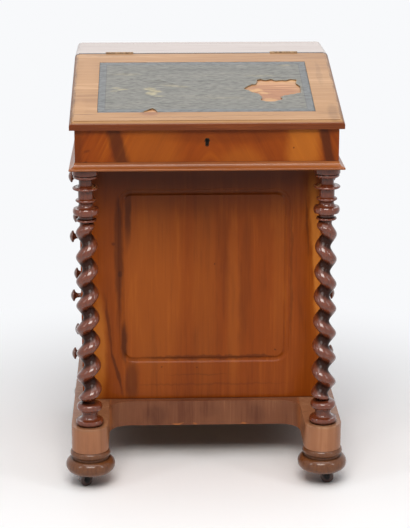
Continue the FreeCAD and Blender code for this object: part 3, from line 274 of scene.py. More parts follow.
AMBER = ("#401a08", "#763208", "#843b09", "#93490c", "#b46a22")
BROWN = ("#36170a", "#76340a", "#883f0c", "#984c12", "#c4762e")
APRON = ("#44261e", "#673c29", "#7a4c34", "#895a3e", "#a8673a")
ARMS = ("#5c3622", "#8c5a3c", "#996443", "#a46f4c", "#b8865e")
MOULDING = ("#46220f", "#743c16", "#8a4c20", "#9c5c2c", "#b88058")
RAIL_EDGE = ("#30160a", "#58280c", "#683010", "#7c3e18", "#b4885c")
print("tones of walnut:", len((AMBER, BROWN, APRON, ARMS, MOULDING, RAIL_EDGE)))

# %% [markdown]
# ## The pedestal's boards
# The front panel is one wide leaf of veneer with its grain upright. It has sapwood along the right edge and
# at the lower left corner, and a few dark streaks and spots. Painted shade darkens it at the top, under the
# box, and along the left side and the bottom of its sunk band. The plinth rail is cut from plainer, redder
# wood, chipped along its lower edge.

# %% Dress the pedestal
# Painted shade is among these dark marks: the first darkens the top of the panel under the box, and those
# along the left side and the bottom of the sunk band darken its hollow. The others are streaks and spots in
# the veneer.
panel_dark_and_shade = [(0, 690, 900, 170, 0, 0.85), (-158, 590, 12, 150, 2, 0.7), (-180, 480, 12, 230, 0, 0.6),
              (-189, 478, 7, 6, 0, 0.6), (-179, 412, 8, 12, 0, 0.8), (42, 470, 16, 190, -2, 0.16),
              (87, 400, 18, 200, 2, 0.2), (-170, 260, 9, 60, 0, 0.7), (-203, 290, 5, 90, -5, 0.5),
              (-188, 200, 5, 80, -14, 0.6), (-155, 175, 20, 60, 0, 0.5), (214, 560, 3, 150, -3, 0.5),
              (0, 226, 168, 7, 0, 0.5), (110, 227, 50, 6, 0, 0.5), (184, 420, 4, 200, 0, 0.35),
              (0, 165, 230, 3, 0, 0.2), (-10, 187, 90, 2, 0, 0.25), (-90, 205, 2.5, 2.5, 0, 0.6),
              (-16, 204, 2.5, 2.5, 0, 0.6), (151, 240, 3, 2.5, 0, 0.7), (22, 432, 2.5, 2.5, 0, 0.7)]
panel_pale = [(-110, 380, 90, 330, 0, 0.14), (0, 380, 40, 330, 0, 0.1), (62, 330, 20, 260, 0, 0.14),
              (240, 420, 15, 360, -4, 0.9), (-224, 240, 20, 160, 0, 0.6), (160, 430, 20, 240, 0, 0.08)]
dress(polished_wood("walnut_veneer_front", "Z", BROWN, 1.3, dark=panel_dark_and_shade, pale=panel_pale),
      "case_front_panel")
rail_dark = [(-104, 103, 36, 30, 0, 0.35), (10, 112, 30, 20, 0, 0.15), (110, 104, 24, 30, 0, 0.25)]
rail_pale = [(-58, 82, 13, 3, 0, 1.0), (-20, 82, 5, 3, 0, 0.8), (85, 83, 9, 3, 0, 1.0),
             (-216, 106, 22, 90, 0, 1.0), (216, 106, 22, 90, 0, 1.0)]
dress(polished_wood("walnut_veneer_apron", "Z", APRON, 8.7, (60, 200), rail_dark, rail_pale),
      "plinth_front_rail")
plinth_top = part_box("plinth_arm_left")[1][2]
dress(polished_wood("walnut_veneer_arms", "Z", ARMS, 3.9, (50, 160), coat=0.5,
                    paler_face=(("#84573c", "#96684a", "#a87c5c"), (0, 0, 1), plinth_top)),
      "plinth_arm_left", "plinth_arm_right")
dress(polished_wood("walnut_veneer_sides", "Z", BROWN, 6.2), "case_left_facing", "case_right_stiles",
      "case_left_panel", "case_back_panel", "plinth_back_rail")
dress(polished_wood("walnut_drawer_rails", "Y", AMBER, 2.2), "drawer_rails")
dress(polished_wood("walnut_false_fronts", "Y", AMBER, 17.5, (60, 300)), "dummy_drawer_fronts")
for number in range(1, 5):
    dress(polished_wood("walnut_drawer_front_%d" % number, "Y", AMBER, 11.0 + number, (60, 300)),
          "drawer_%d_front" % number)
print("pedestal materials:", len(bpy.data.materials))

# %% [markdown]
# ## The writing box
# The front of the box is cut from the crotch of the tree, where the trunk forks: its grain leans in from both
# sides to a feather in the middle. That needs no new texture, only bent places: the way across is measured
# from the middle line and leans with height. Two dark bands of heartwood cross it. The lid and the level top
# are a pinkish tan under their film near their upper faces: partly fading, partly a painted sheen.

# %% Dress the writing box
FEATHER_X = 6                 # mm, its middle line
FEATHER_WIDTH = 18            # mm over which the two sides blend
FEATHER_LEAN = 0.5            # mm sideways for each mm of height
SLOPE = math.radians(12.4)    # of the lid
HINGE_GAP = 0.3               # mm from the lid's rear edge to the hinge line
hinge_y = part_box("lid_board")[1][1] + HINGE_GAP * MM
hinge_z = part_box("top_slab")[1][2]


def feather(tree):
    """Places bent so that straight grain comes out as a feather."""
    place = add(tree, "ShaderNodeTexCoord").outputs["Object"]
    parts = add(tree, "ShaderNodeSeparateXYZ", {0: place}).outputs
    off = field(tree, "SUBTRACT", parts["X"], FEATHER_X * MM)
    spread = field(tree, "SQRT", field(tree, "MULTIPLY_ADD", off, off, (FEATHER_WIDTH * MM) ** 2))
    across = field(tree, "MULTIPLY_ADD", parts["Z"], FEATHER_LEAN, spread)
    return add(tree, "ShaderNodeCombineXYZ", {"X": across, "Y": parts["Y"], "Z": parts["Z"]}).outputs[0]


def down_the_lid(spots):
    """Marks given in mm across and mm down from the hinge line, as marks seen from above."""
    squeeze = math.cos(SLOPE)
    return [(x, hinge_y / MM - down * squeeze, half_width, half_length * squeeze, lean, strength)
            for x, down, half_width, half_length, lean, strength in spots]


box_dark = [(-175, 720, 20, 110, -15, 0.75), (237, 719, 14, 110, -11, 0.8), (-236, 712, 9, 4, -30, 0.4),
            (171, 718, 2.5, 2.5, 0, 0.8), (-256, 720, 16, 90, 0, 0.45), (-240, 690, 10, 2.5, 0, 0.7),
            (40, 742, 160, 20, 0, 0.25)]
box_pale = [(-110, 705, 80, 130, 0, 0.2), (190, 715, 44, 170, 0, 0.6), (70, 690, 60, 40, 0, 0.25),
            (-252, 691, 7, 2.5, 0, 0.8)]
lid_dark = down_the_lid([(-268, 190, 7, 420, 0, 0.6), (268, 190, 7, 420, 0, 0.5), (250, 330, 14, 60, 0, 0.25),
                         (-80, 347, 160, 4, 0, 0.25), (90, 340, 120, 3, 0, 0.2), (-190, 14, 90, 9, 0, 0.2),
                         (240, 120, 8, 90, 0, 0.15)])
lid_pale = down_the_lid([(-240, 130, 24, 120, 0, 0.35), (-250, 300, 14, 60, 0, 0.4),
                         (-110, 352, 90, 12, 0, 0.3)])
torn_wood = down_the_lid([(140, 212, 72, 84, 0, 1.0), (-113, 318, 26, 34, 0, 0.6)])
splintered = down_the_lid([(104, 208, 20, 12, 0, 0.7), (120, 224, 16, 10, 0, 0.6),
                           (130, 258, 20, 12, 0, 0.5), (182, 160, 16, 8, 0, 0.4)])
# Along the hinge line a dark band is painted on the level top and the lid: partly grime, partly painted shade
# of the gap.
hinge_grime_and_gap_shade = [(0, hinge_y / MM, 900, 6.0, 0, 1.0)]
lid_joints = down_the_lid([(-242, 331, 34, 1.6, 0, 0.6), (242, 331, 34, 1.6, 0, 0.6)])
lid_up = (0.0, -math.sin(SLOPE), math.cos(SLOPE))
lid_level = hinge_z * math.cos(SLOPE) - hinge_y * math.sin(SLOPE)
dress(polished_wood("walnut_crotch_veneer", "Z", AMBER, 5.1, (40, 300), box_dark, box_pale, bend=feather),
      "box_front")
dress(polished_wood("walnut_box_sides", "Y", AMBER, 2.9), "box_left_side", "box_right_side")
dress(polished_wood("walnut_box_back", "X", BROWN, 9.4), "box_back")
dress(polished_wood("walnut_moulding", "X", MOULDING, 4.4, coat=0.4, roughness=0.3), "box_moulding")
# Painted sheen: the level top's pale pinkish tones near its upper face stand partly for the sheen of its
# film.
dress(polished_wood("walnut_level_top", "X", RAIL_EDGE, 7.3, plane="XY", coat=1.0, seams_and_gap_shade=hinge_grime_and_gap_shade,
                    paler_face=(("#9c8274", "#ae9688", "#c0aa9e"), (0, 0, 1), hinge_z)), "top_slab")
# Painted sheen: the lid's pale tan tones near its upper face stand partly for the sheen of its film.
dress(polished_wood("walnut_lid", "X", RAIL_EDGE, 12.6, dark=lid_dark, pale=lid_pale, plane="XY", coat=0.25,
                    paler_face=(("#906640", "#a67b50", "#bc9268"), lid_up, lid_level),
                    bare=(torn_wood, splintered), seams_and_gap_shade=hinge_grime_and_gap_shade + lid_joints), "lid_board")
print("with the box's:", len(bpy.data.materials))

# %% [markdown]
# ## Turned and carved walnut
# Columns, feet and knobs were turned from solid walnut, stained darker and polished in the lathe. Hands and
# dusters keep the high places bright while wax and soot gather in the hollows. An ambient occlusion node
# drives the colour from reddish brown to nearly black there, which is partly that grime and partly painted
# shade, and takes the film of polish away there as well. The twist below also carries a "hollow" attribute,
# which says how far down the side of the strand a place lies and darkens it in the same way; other pieces
# have none, and it reads as nothing there.

# %% Turned wood
def turned_wood(name, high, low, reach, roughness=0.28, coat=1.0):
    """Glossy stained wood, dark in its hollows. reach is how deep a hollow counts, in mm."""
    material, tree, shader = new_material(name, IOR=1.5, Specular_IOR_Level=0.08, Coat_Roughness=0.1,
                                          Coat_IOR=1.52)
    crevice = add(tree, "ShaderNodeAmbientOcclusion", {"Distance": reach * MM}, samples=12)
    # Painted shade: colour goes dark with the occlusion and with the hollow attribute, partly soot and wax,
    # partly shade.
    depth = ramp(tree, crevice.outputs["AO"], (0.3, low), (0.92, high))
    hollow = add(tree, "ShaderNodeAttribute", attribute_name="hollow")
    soot_and_shade = remap(tree, hollow.outputs["Fac"], 0.3, 0.8, 0.0, 0.9, "SMOOTHSTEP")
    rubbed = field(tree, "MULTIPLY", crevice.outputs["AO"], field(tree, "SUBTRACT", 1.0, soot_and_shade))
    tree.links.new(field(tree, "MULTIPLY", rubbed, coat), shader.inputs["Coat Weight"])
    depth = mixed(tree, soot_and_shade, depth, low)
    figure = grain_noise(tree, "Z", 4, 30, Detail=3.0).outputs[0]
    shade = ramp(tree, figure, (0.35, "#e4dcd8"), (0.6, "#ffffff"))
    tree.links.new(mixed(tree, 1.0, depth, shade, "MULTIPLY"), shader.inputs["Base Color"])
    rough = remap(tree, figure, 0.0, 1.0, roughness + 0.08, roughness - 0.08)
    tree.links.new(rough, shader.inputs["Roughness"])
    dent(tree, shader, figure, 0.1, 0.2)
    return material


twist_wood = turned_wood("walnut_turned_column", "#6e341c", "#22120d", 18)
dress(turned_wood("walnut_turned_foot", "#6c4226", "#20120b", 14, 0.34, 0.6),
      "foot_front_left", "foot_front_right", "foot_rear_left", "foot_rear_right")
dress(turned_wood("walnut_turned_knob", "#6a3a26", "#1c0f0c", 8), "dummy_drawer_knobs",
      *["drawer_%d_knobs" % number for number in range(1, 5)])
print("with the turned ones:", len(bpy.data.materials))

# %% [markdown]
# ## Plain carcase wood
# Inside, a davenport is made of pale wood that was planed and left bare: pine for the carcase, oak for the
# drawers. It is matt, and its grain is wide and quiet.

# %% Carcase wood
def bare_wood(name, grain, dark, light, shift=0.0):
    """Planed wood with no finish."""
    material, tree, shader = new_material(name, Roughness=0.7, IOR=1.45)
    wide = grain_noise(tree, grain, 14, 300, shift, Detail=4.0, Distortion=0.5)
    fibre = grain_noise(tree, grain, *FIBRE, shift).outputs[0]
    value = add(tree, "ShaderNodeMix", {0: 0.3, 2: wide.outputs[0], 3: fibre})
    tree.links.new(ramp(tree, value.outputs[0], (0.35, dark), (0.62, light)), shader.inputs["Base Color"])
    dent(tree, shader, fibre, 0.4, 0.3)
    return material


dress(bare_wood("pine_carcase", "X", "#a87c4c", "#cda572", 1.0), "case_floor", "drawer_runners", "box_bottom",
      "stationery_rack", "inner_drawer_left", "inner_drawer_right")
for number in range(1, 5):
    dress(bare_wood("oak_drawer_lining_%d" % number, "X", "#9c7448", "#c09868", 3.0 + number),
          "drawer_%d_tray" % number)
print("with the carcase's:", len(bpy.data.materials))

# %% [markdown]
# ## Metals and castor wheels
# Brass that has not been polished for years is brown in its hollows and dull yellow where fingers touch it;
# hinges under years of wax have gone a flat brown. The lock and the castors are iron, blackened in the fire,
# with a dark, greasy shine. The small wheels are turned from hard, dark red wood.

# %% Brass and iron
def old_metal(name, clean, tarnish, metallic, roughness):
    """Metal with cloudy tarnish, 6 mm across."""
    material, tree, shader = new_material(name, Metallic=metallic)
    cloud = grain_noise(tree, "Z", 6, 6, Detail=4.0).outputs[0]
    tree.links.new(ramp(tree, cloud, (0.4, tarnish), (0.65, clean)), shader.inputs["Base Color"])
    rough = remap(tree, cloud, 0.0, 1.0, roughness + 0.15, roughness - 0.1)
    tree.links.new(rough, shader.inputs["Roughness"])
    return material


CORNERS = ("front_left", "front_right", "rear_left", "rear_right")
dress(old_metal("brass_hinge_waxed", "#a88a68", "#7c6248", 0.2, 0.7), "hinge_fixed_leaves",
      "hinge_moving_leaves")
dress(old_metal("brass_lock_tarnished", "#b08a4a", "#5a4424", 1.0, 0.38), "lid_lock_plate", "lock_bolt")
dress(old_metal("brass_keyhole_rim", "#3a2c1a", "#1c1610", 0.8, 0.5), "keyhole_escutcheon")
dress(old_metal("steel_pin", "#8c8a86", "#55524e", 1.0, 0.35), "hinge_pins")
dress(old_metal("iron_lock", "#4a4643", "#2a2624", 0.9, 0.5), "lock_case", "castor_sockets")
dress(old_metal("iron_castor", "#1c1a19", "#0c0b0b", 0.6, 0.45), *["castor_horn_" + c for c in CORNERS])
dress(turned_wood("lignum_castor_wheel", "#3c1f18", "#150b09", 6, 0.4),
      *["castor_wheel_" + c for c in CORNERS])
print("with the metals:", len(bpy.data.materials))

# %% [markdown]
# ## Eased edges
# No joiner leaves an edge sharp: the last stroke of the plane or the sandpaper takes it off by half a
# millimetre, and a century of use does the rest. The boards arrive as loose triangles, so a small Geometry
# Nodes tree joins them first, and a planar Decimate clears the lines that cross a flat face. A second tree
# shades the board smooth except at its corners and where two boards of one piece meet. A Bevel modifier then
# rounds each real edge, and its hardened normals keep the flat faces flat to the light.

# %% Ease the edges of the boards
CORNER_ANGLE = math.radians(38)
FLAT_ANGLE = math.radians(0.5)


def geometry_tree(name, *inputs):
    """An empty Geometry Nodes tree with named inputs, each (name, socket type, default)."""
    tree = bpy.data.node_groups.new(name, "GeometryNodeTree")
    tree.interface.new_socket("Geometry", in_out="INPUT", socket_type="NodeSocketGeometry")
    for label, kind, default in inputs:
        socket = tree.interface.new_socket(label, in_out="INPUT", socket_type=kind)
        if default is not None:
            socket.default_value = default
    tree.interface.new_socket("Geometry", in_out="OUTPUT", socket_type="NodeSocketGeometry")
    start = tree.nodes.new("NodeGroupInput")
    end = tree.nodes.new("NodeGroupOutput")
    return tree, start, end


def weld_tree():
    tree, start, end = geometry_tree("join_triangles")
    joined = add(tree, "GeometryNodeMergeByDistance", {"Geometry": start.outputs[0], "Distance": 0.01 * MM})
    plain = add(tree, "GeometryNodeRemoveAttribute", {"Geometry": joined.outputs[0], "Name": "custom_normal"})
    tree.links.new(plain.outputs[0], end.inputs[0])
    return tree


def shade_tree():
    tree, start, end = geometry_tree("shade_by_angle", ("Corner", "NodeSocketFloat", CORNER_ANGLE))
    angle = add(tree, "GeometryNodeInputMeshEdgeAngle")
    flat = field(tree, "LESS_THAN", angle.outputs[0], start.outputs["Corner"])
    sides = add(tree, "GeometryNodeInputMeshEdgeNeighbors")
    pair = field(tree, "COMPARE", sides.outputs[0], 2.0, 0.5)
    smooth = field(tree, "MULTIPLY", flat, pair)
    edges = add(tree, "GeometryNodeSetShadeSmooth", {"Geometry": start.outputs[0], "Shade Smooth": smooth},
                domain="EDGE")
    faces = add(tree, "GeometryNodeSetShadeSmooth", {"Geometry": edges.outputs[0], "Shade Smooth": True},
                domain="FACE")
    tree.links.new(faces.outputs[0], end.inputs[0])
    return tree


join_triangles = weld_tree()
shade_by_angle = shade_tree()


def ease(name, width):
    """Rounds the edges of one board by a width in mm."""
    board = nodes[name]
    board.modifiers.new("join", "NODES").node_group = join_triangles
    clear = board.modifiers.new("clear", "DECIMATE")
    clear.decimate_type = "DISSOLVE"
    clear.angle_limit = FLAT_ANGLE
    board.modifiers.new("shade", "NODES").node_group = shade_by_angle
    bevel = board.modifiers.new("ease", "BEVEL")
    bevel.width = width * MM
    bevel.segments = 2
    bevel.limit_method = "ANGLE"
    bevel.angle_limit = CORNER_ANGLE
    bevel.harden_normals = True


THIN_BOARDS = ("case_left_facing", "dummy_drawer_fronts", "stationery_rack", "inner_drawer_left",
               "inner_drawer_right", "drawer_rails", "box_moulding")
STOUT_BOARDS = ("case_front_panel", "case_right_stiles", "case_back_panel", "box_front", "box_left_side",
                "box_right_side", "box_back", "top_slab", "plinth_back_rail",
                *["drawer_%d_front" % number for number in range(1, 5)])
WORN_BOARDS = ("plinth_arm_left", "plinth_arm_right", "plinth_front_rail", "lid_board")
for boards, easing in ((THIN_BOARDS, 0.4), (STOUT_BOARDS, 0.8), (WORN_BOARDS, 1.4)):
    for board in boards:
        ease(board, easing)
    print(len(boards), "boards eased by", easing, "mm")

# %% [markdown]
# ## The barley twist
# The columns are single strands that wind up between a turned base and a turned head. Carvers cut them by
# rule: so much rise for each turn, full at the crest, deep in the hollow, and a little slimmer towards the
# top. A Geometry Nodes tree follows the same rule. It lays a flat grid and wraps it: one side of the grid
# becomes the way round the strand, the other the way up. The turned ends are copied from the CAD column.

# %% Twist tree
POINTS_AROUND, POINTS_UP = 73, 361      # of the grid that becomes the strand


def twist_tree():
    tree, start, end = geometry_tree(
        "barley_twist", ("Length", "NodeSocketFloat", 0.38), ("Pitch", "NodeSocketFloat", 0.052),
        ("Foot Radius", "NodeSocketFloat", 0.026), ("Top Radius", "NodeSocketFloat", 0.0215),
        ("Hollow Radius", "NodeSocketFloat", 0.0095), ("Neck Radius", "NodeSocketFloat", 0.0125),
        ("Runout", "NodeSocketFloat", 0.015), ("Start Angle", "NodeSocketFloat", 0.0),
        ("Winding", "NodeSocketFloat", 1.0), ("Material", "NodeSocketMaterial", None))
    size = start.outputs
    grid = add(tree, "GeometryNodeMeshGrid", {"Size X": 1.0, "Size Y": 1.0, "Vertices X": POINTS_AROUND,
                                              "Vertices Y": POINTS_UP})
    spot = add(tree, "ShaderNodeSeparateXYZ", {0: add(tree, "GeometryNodeInputPosition").outputs[0]})
    around = field(tree, "MULTIPLY_ADD", spot.outputs["X"], 2 * math.pi, math.pi)
    rise = field(tree, "ADD", spot.outputs["Y"], 0.5)
    height = field(tree, "MULTIPLY", rise, size["Length"])
    to_end = field(tree, "MINIMUM", height, field(tree, "SUBTRACT", size["Length"], height))
    near = field(tree, "MINIMUM", field(tree, "DIVIDE", to_end, size["Runout"]), 1.0)
    fade = field(tree, "SINE", field(tree, "MULTIPLY", near, math.pi / 2))
    taper = field(tree, "SUBTRACT", size["Top Radius"], size["Foot Radius"])
    crest = field(tree, "MULTIPLY_ADD", taper, rise, size["Foot Radius"])
    share = field(tree, "MULTIPLY_ADD", field(tree, "COSINE", around), 0.5, 0.5)
    swell = field(tree, "SUBTRACT", crest, size["Hollow Radius"])
    strand = field(tree, "MULTIPLY_ADD", swell, share, size["Hollow Radius"])
    proud = field(tree, "SUBTRACT", strand, size["Neck Radius"])
    radius = field(tree, "MULTIPLY_ADD", proud, fade, size["Neck Radius"])
    turns = field(tree, "MULTIPLY", field(tree, "DIVIDE", height, size["Pitch"]), -2 * math.pi)
    angle = field(tree, "ADD", field(tree, "ADD", around, turns), size["Start Angle"])
    outward = field(tree, "MULTIPLY", radius, field(tree, "COSINE", angle))
    east = field(tree, "MULTIPLY", outward, size["Winding"])
    north = field(tree, "MULTIPLY", radius, field(tree, "SINE", angle))
    place = add(tree, "ShaderNodeCombineXYZ", {"X": east, "Y": north, "Z": height})
    deep = field(tree, "MULTIPLY", field(tree, "SUBTRACT", 1.0, share), fade)
    soot_and_shade = add(tree, "GeometryNodeStoreNamedAttribute", {"Geometry": grid.outputs[0], "Name": "hollow",
                                                         "Value": deep})
    wrapped = add(tree, "GeometryNodeSetPosition", {"Geometry": soot_and_shade.outputs[0],
                                                    "Position": place.outputs[0]})
    closed = add(tree, "GeometryNodeMergeByDistance", {"Geometry": wrapped.outputs[0],
                                                       "Distance": 0.02 * MM})
    smooth = add(tree, "GeometryNodeSetShadeSmooth", {"Geometry": closed.outputs[0]})
    real = add(tree, "GeometryNodeRealizeInstances", {"Geometry": smooth.outputs[0]})
    finish = add(tree, "GeometryNodeSetMaterial", {"Geometry": real.outputs[0], "Material": size["Material"]})
    tree.links.new(finish.outputs[0], end.inputs[0])
    return tree


barley_twist = twist_tree()


def set_input(modifier, label, value):
    """Sets a Geometry Nodes input by the label that it shows."""
    for item in modifier.node_group.interface.items_tree:
        if item.name == label and item.in_out == "INPUT":
            modifier[item.identifier] = value


def evaluated(piece):
    """A plain mesh of what an object's modifiers make."""
    bpy.context.view_layer.update()
    return bpy.data.meshes.new_from_object(piece.evaluated_get(bpy.context.evaluated_depsgraph_get()))


def new_piece(name, mesh):
    """An object for a mesh, linked to the scene."""
    made = bpy.data.objects.new(name, mesh)
    bpy.context.scene.collection.objects.link(made)
    return made


print("nodes in the twist's tree:", len(barley_twist.nodes))

# %% Columns
SPIGOT = 10 * MM              # inside the box and the plinth
COLUMN_BASE = 49.5 * MM       # turned base, up to the twist
COLUMN_HEAD = 111.5 * MM      # turned head, down to the twist
PITCH = {"right": 52.2 * MM, "left": 50.7 * MM}
START = {"right": math.radians(257.0), "left": math.radians(18.0)}      # of the crest, from outwards
WINDING = {"right": 1.0, "left": -1.0}
WELD = 0.005 * MM             # corners this close are one
CUT_MARGIN = 0.1 * MM         # the turned ends keep what reaches this far into the twist


def turned_ends(node, low, high):
    """The CAD column with its twist taken away."""
    shell = bmesh.new()
    shell.from_mesh(nodes[node].data)
    bmesh.ops.remove_doubles(shell, verts=shell.verts, dist=WELD)
    twist = [f for f in shell.faces if low + CUT_MARGIN < f.calc_center_median().z < high - CUT_MARGIN]
    bmesh.ops.delete(shell, geom=twist, context="FACES")
    for edge in shell.edges:
        edge.smooth = len(edge.link_faces) == 2 and edge.calc_face_angle(0.0) < CORNER_ANGLE
    for patch in shell.faces:
        patch.smooth = True
    return shell


def column(side):
    """One column: turned ends from the frame, and a twist between them."""
    node = "column_" + side
    (x0, y0, z0), (x1, y1, z1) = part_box(node)
    low = z0 + SPIGOT + COLUMN_BASE
    high = z1 - SPIGOT - COLUMN_HEAD
    maker = new_piece("twist_maker", bpy.data.meshes.new("twist_maker"))
    twist = maker.modifiers.new("twist", "NODES")
    twist.node_group = barley_twist
    sizes = {"Length": high - low, "Pitch": PITCH[side], "Start Angle": START[side], "Winding": WINDING[side],
             "Material": twist_wood}
    for label, value in sizes.items():
        set_input(twist, label, value)
    strand = evaluated(maker)
    bpy.data.objects.remove(maker)
    strand.transform(Matrix.Translation(((x0 + x1) / 2, (y0 + y1) / 2, low)))
    shell = turned_ends(node, low, high)
    shell.from_mesh(strand)
    bmesh.ops.recalc_face_normals(shell, faces=shell.faces)
    mesh = bpy.data.meshes.new("turned_column_" + side)
    shell.to_mesh(mesh)
    shell.free()
    mesh.materials.append(twist_wood)
    piece = new_piece("turned_column_" + side, mesh)
    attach(piece, "desk")
    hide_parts(node)
    print(piece.name, len(mesh.polygons), "faces")


for side in ("right", "left"):
    column(side)

# %% [markdown]
# ## Writing leather
# The skiver on the lid is a thin skin glued into a shallow recess. It has dried, wrinkled and lost a patch on
# the right, where the bare wood shows, and a nick at its front edge. The sheet is cut in two dimensions
# first: a Delaunay triangulation that keeps the outlines of the sheet and of the holes as edges. The third
# dimension follows: wrinkles that run across the lid, a few ridges, and lips that curl up at the torn edges.

# %% Leather sheet
LEATHER_THICK = 1.0 * MM
LEATHER_STEP = 3.5            # mm between the points of the sheet
LEATHER_TOP = -0.2 * MM       # its face, below the lid's
(leather_x0, leather_y0, _), (leather_x1, leather_y1, _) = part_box("lid_leather")
# outlines and ridges in mm: x across the desk, and the way down the lid from the hinge line
TEAR = [(80, 201), (95, 182), (107, 178), (108, 158), (117, 153), (127, 158), (138, 153), (147, 162),
        (159, 158), (170, 160), (178, 153), (190, 156), (188, 176), (196, 196), (194, 225), (183, 231),
        (171, 236), (161, 239), (152, 248), (154, 262), (139, 271), (122, 272), (110, 263), (115, 248),
        (109, 232), (96, 223), (86, 211)]
NICK = [(-130, 330), (-124, 318), (-115, 309), (-107, 303), (-99, 314), (-96, 330)]
RIDGES = [((-121, 156), (-92, 152), 1.3), ((-92, 152), (-62, 174), 1.3), ((104, 150), (140, 145), 1.4),
          ((-42, 156), (0, 160), 0.5), ((0, 160), (44, 155), 0.5)]        # two ends and a height
RIDGE_WIDTH = 3.0
RAG_SIZE = 6                  # mm, of the raggedness along an edge
RAG_STRAY = 2.2               # mm, how far it moves a point
GRID_STRAY = 0.2              # of a step, how far a point of the sheet lies off its grid
LIP_HEIGHT = 1.9              # mm, at a torn edge
LIP_REACH = 5                 # mm, over which a lip dies away


def on_lid(x, down, out):
    """A point on the lid in metres, from mm across, mm down from the hinge line, and metres above the top."""
    down *= MM
    return Vector((x * MM, hinge_y - down * math.cos(SLOPE) - out * math.sin(SLOPE),
                   hinge_z - down * math.sin(SLOPE) + out * math.cos(SLOPE)))


# Known fault: noise_vector takes its offsets from the clock unless noise.seed_set is called, and nothing here
# calls it. So the sheet's edges and inner points differ a little from run to run.
def ragged(outline, step, layer):
    """An outline with more points, each moved a little, like a torn edge; layer picks a slice of noise."""
    points = []
    for (ax, ay), (bx, by) in zip(outline, outline[1:] + outline[:1]):
        count = max(1, round(math.hypot(bx - ax, by - ay) / step))
        for i in range(count):
            x, y = ax + (bx - ax) * i / count, ay + (by - ay) * i / count
            stray = noise.noise_vector(Vector((x / RAG_SIZE, y / RAG_SIZE, layer)))
            points.append(Vector((x + RAG_STRAY * stray.x, y + RAG_STRAY * stray.y)))
    return points


def inside(point, outline):
    """Whether a 2-D point lies within a closed outline."""
    hit = False
    for a, b in zip(outline, outline[1:] + outline[:1]):
        if (a.y > point.y) != (b.y > point.y) and point.x < (b.x - a.x) * (point.y - a.y) / (b.y - a.y) + a.x:
            hit = not hit
    return hit


def line_gap(point, a, b):
    """Distance from a 2-D point to a straight piece of line."""
    along = b - a
    t = max(0.0, min(1.0, (point - a).dot(along) / along.length_squared))
    return (point - a - along * t).length


def edge_gap(point, outline):
    """Distance from a 2-D point to an outline."""
    return min(line_gap(point, a, b) for a, b in zip(outline, outline[1:] + outline[:1]))


def cut_sheet(outer, holes, step):
    """Triangles of a flat sheet: (points, triangles), with its outlines kept as edges."""
    points = list(outer)
    edges = [(i, (i + 1) % len(outer)) for i in range(len(outer))]
    for hole in holes:
        first = len(points)
        points += hole
        edges += [(first + i, first + (i + 1) % len(hole)) for i in range(len(hole))]
    low = Vector((min(p.x for p in outer), min(p.y for p in outer)))
    high = Vector((max(p.x for p in outer), max(p.y for p in outer)))
    for row in range(1, int((high.y - low.y) / step)):
        for col in range(1, int((high.x - low.x) / step)):
            stray = noise.noise_vector(Vector((col * 3.1, row * 2.7, 0.5))) * step * GRID_STRAY
            spot = Vector((low.x + col * step + stray.x, low.y + row * step + stray.y))
            if all(edge_gap(spot, hole) > step / 2 for hole in holes):
                points.append(spot)
    flat, _, faces, *_ = delaunay_2d_cdt(points, edges, [], 1, 1e-4)
    kept = []
    for face in faces:
        middle = sum((flat[i] for i in face), Vector((0, 0))) / len(face)
        if inside(middle, outer) and not any(inside(middle, hole) for hole in holes):
            kept.append(face)
    return flat, kept


def leather_height(spot, holes):
    """How far the skin stands above its bed, in mm."""
    crease = noise.noise(Vector((spot.x / 70, spot.y / 9, 2.0)))
    crackle = noise.noise(Vector((spot.x / 30, spot.y / 4.5, 7.0)))
    lift = 0.12 * max(0.0, crease) + 0.16 * crackle
    for hole in holes:
        lip = 0.5 + 0.5 * noise.noise(Vector((spot.x / 12, spot.y / 12, 4.0)))
        lift += LIP_HEIGHT * lip * math.exp(-edge_gap(spot, hole) / LIP_REACH)
    for a, b, height in RIDGES:
        gap = line_gap(spot, Vector(a), Vector(b)) / RIDGE_WIDTH
        lift += height * math.exp(-gap * gap)
    return max(0.0, lift)


half = (leather_x1 - leather_x0) / 2 / MM
rear = (hinge_y - leather_y1) / math.cos(SLOPE) / MM
front = (hinge_y - leather_y0) / math.cos(SLOPE) / MM
corners = [(-half, rear), (half, rear), (half, front), (-half, front)]
outer = [Vector((max(-half, min(half, p.x)), max(rear, min(front, p.y)))) for p in ragged(corners, 8, 0.0)]
holes = [ragged(TEAR, 3, 3.0), ragged(NICK, 3, 5.0)]
flat, faces = cut_sheet(outer, holes, LEATHER_STEP)
sheet_mesh = bpy.data.meshes.new("writing_leather")
skin_points = [on_lid(p.x, p.y, LEATHER_TOP + leather_height(p, holes) * MM) for p in flat]
sheet_mesh.from_pydata(skin_points, [], faces)
torn_gap = sheet_mesh.attributes.new("torn_gap", "FLOAT", "POINT")
torn_gap.data.foreach_set("value", [min(edge_gap(p, hole) for hole in holes) for p in flat])
leather = new_piece("writing_leather", sheet_mesh)
shell = bmesh.new()
shell.from_mesh(sheet_mesh)
bmesh.ops.delete(shell, geom=[v for v in shell.verts if not v.link_faces], context="VERTS")
for patch in shell.faces:
    patch.normal_update()
    if patch.normal.z < 0:
        patch.normal_flip()
    patch.smooth = True
shell.to_mesh(sheet_mesh)
shell.free()
thick = leather.modifiers.new("thickness", "SOLIDIFY")
thick.thickness = LEATHER_THICK
thick.offset = -1.0
print("leather:", len(sheet_mesh.polygons), "triangles,", len(holes), "holes")

# %% [markdown]
# ## The leather's finish
# Sheepskin, split thin, dyed dark green and greyed by a century of light. It is khaki where sleeves have
# rubbed it, buff where a torn edge shows the split. A blind line was rolled into it with a hot wheel, a
# finger's width in from the edge, and outside that line the dye has kept a bluer grey.

# %% Leather finish
BORDER = 15                   # mm from the sheet's edge to the tooled line
BORDER_LINE = 1.4             # mm, drawn a little wider than the wheel's mark so that it shows
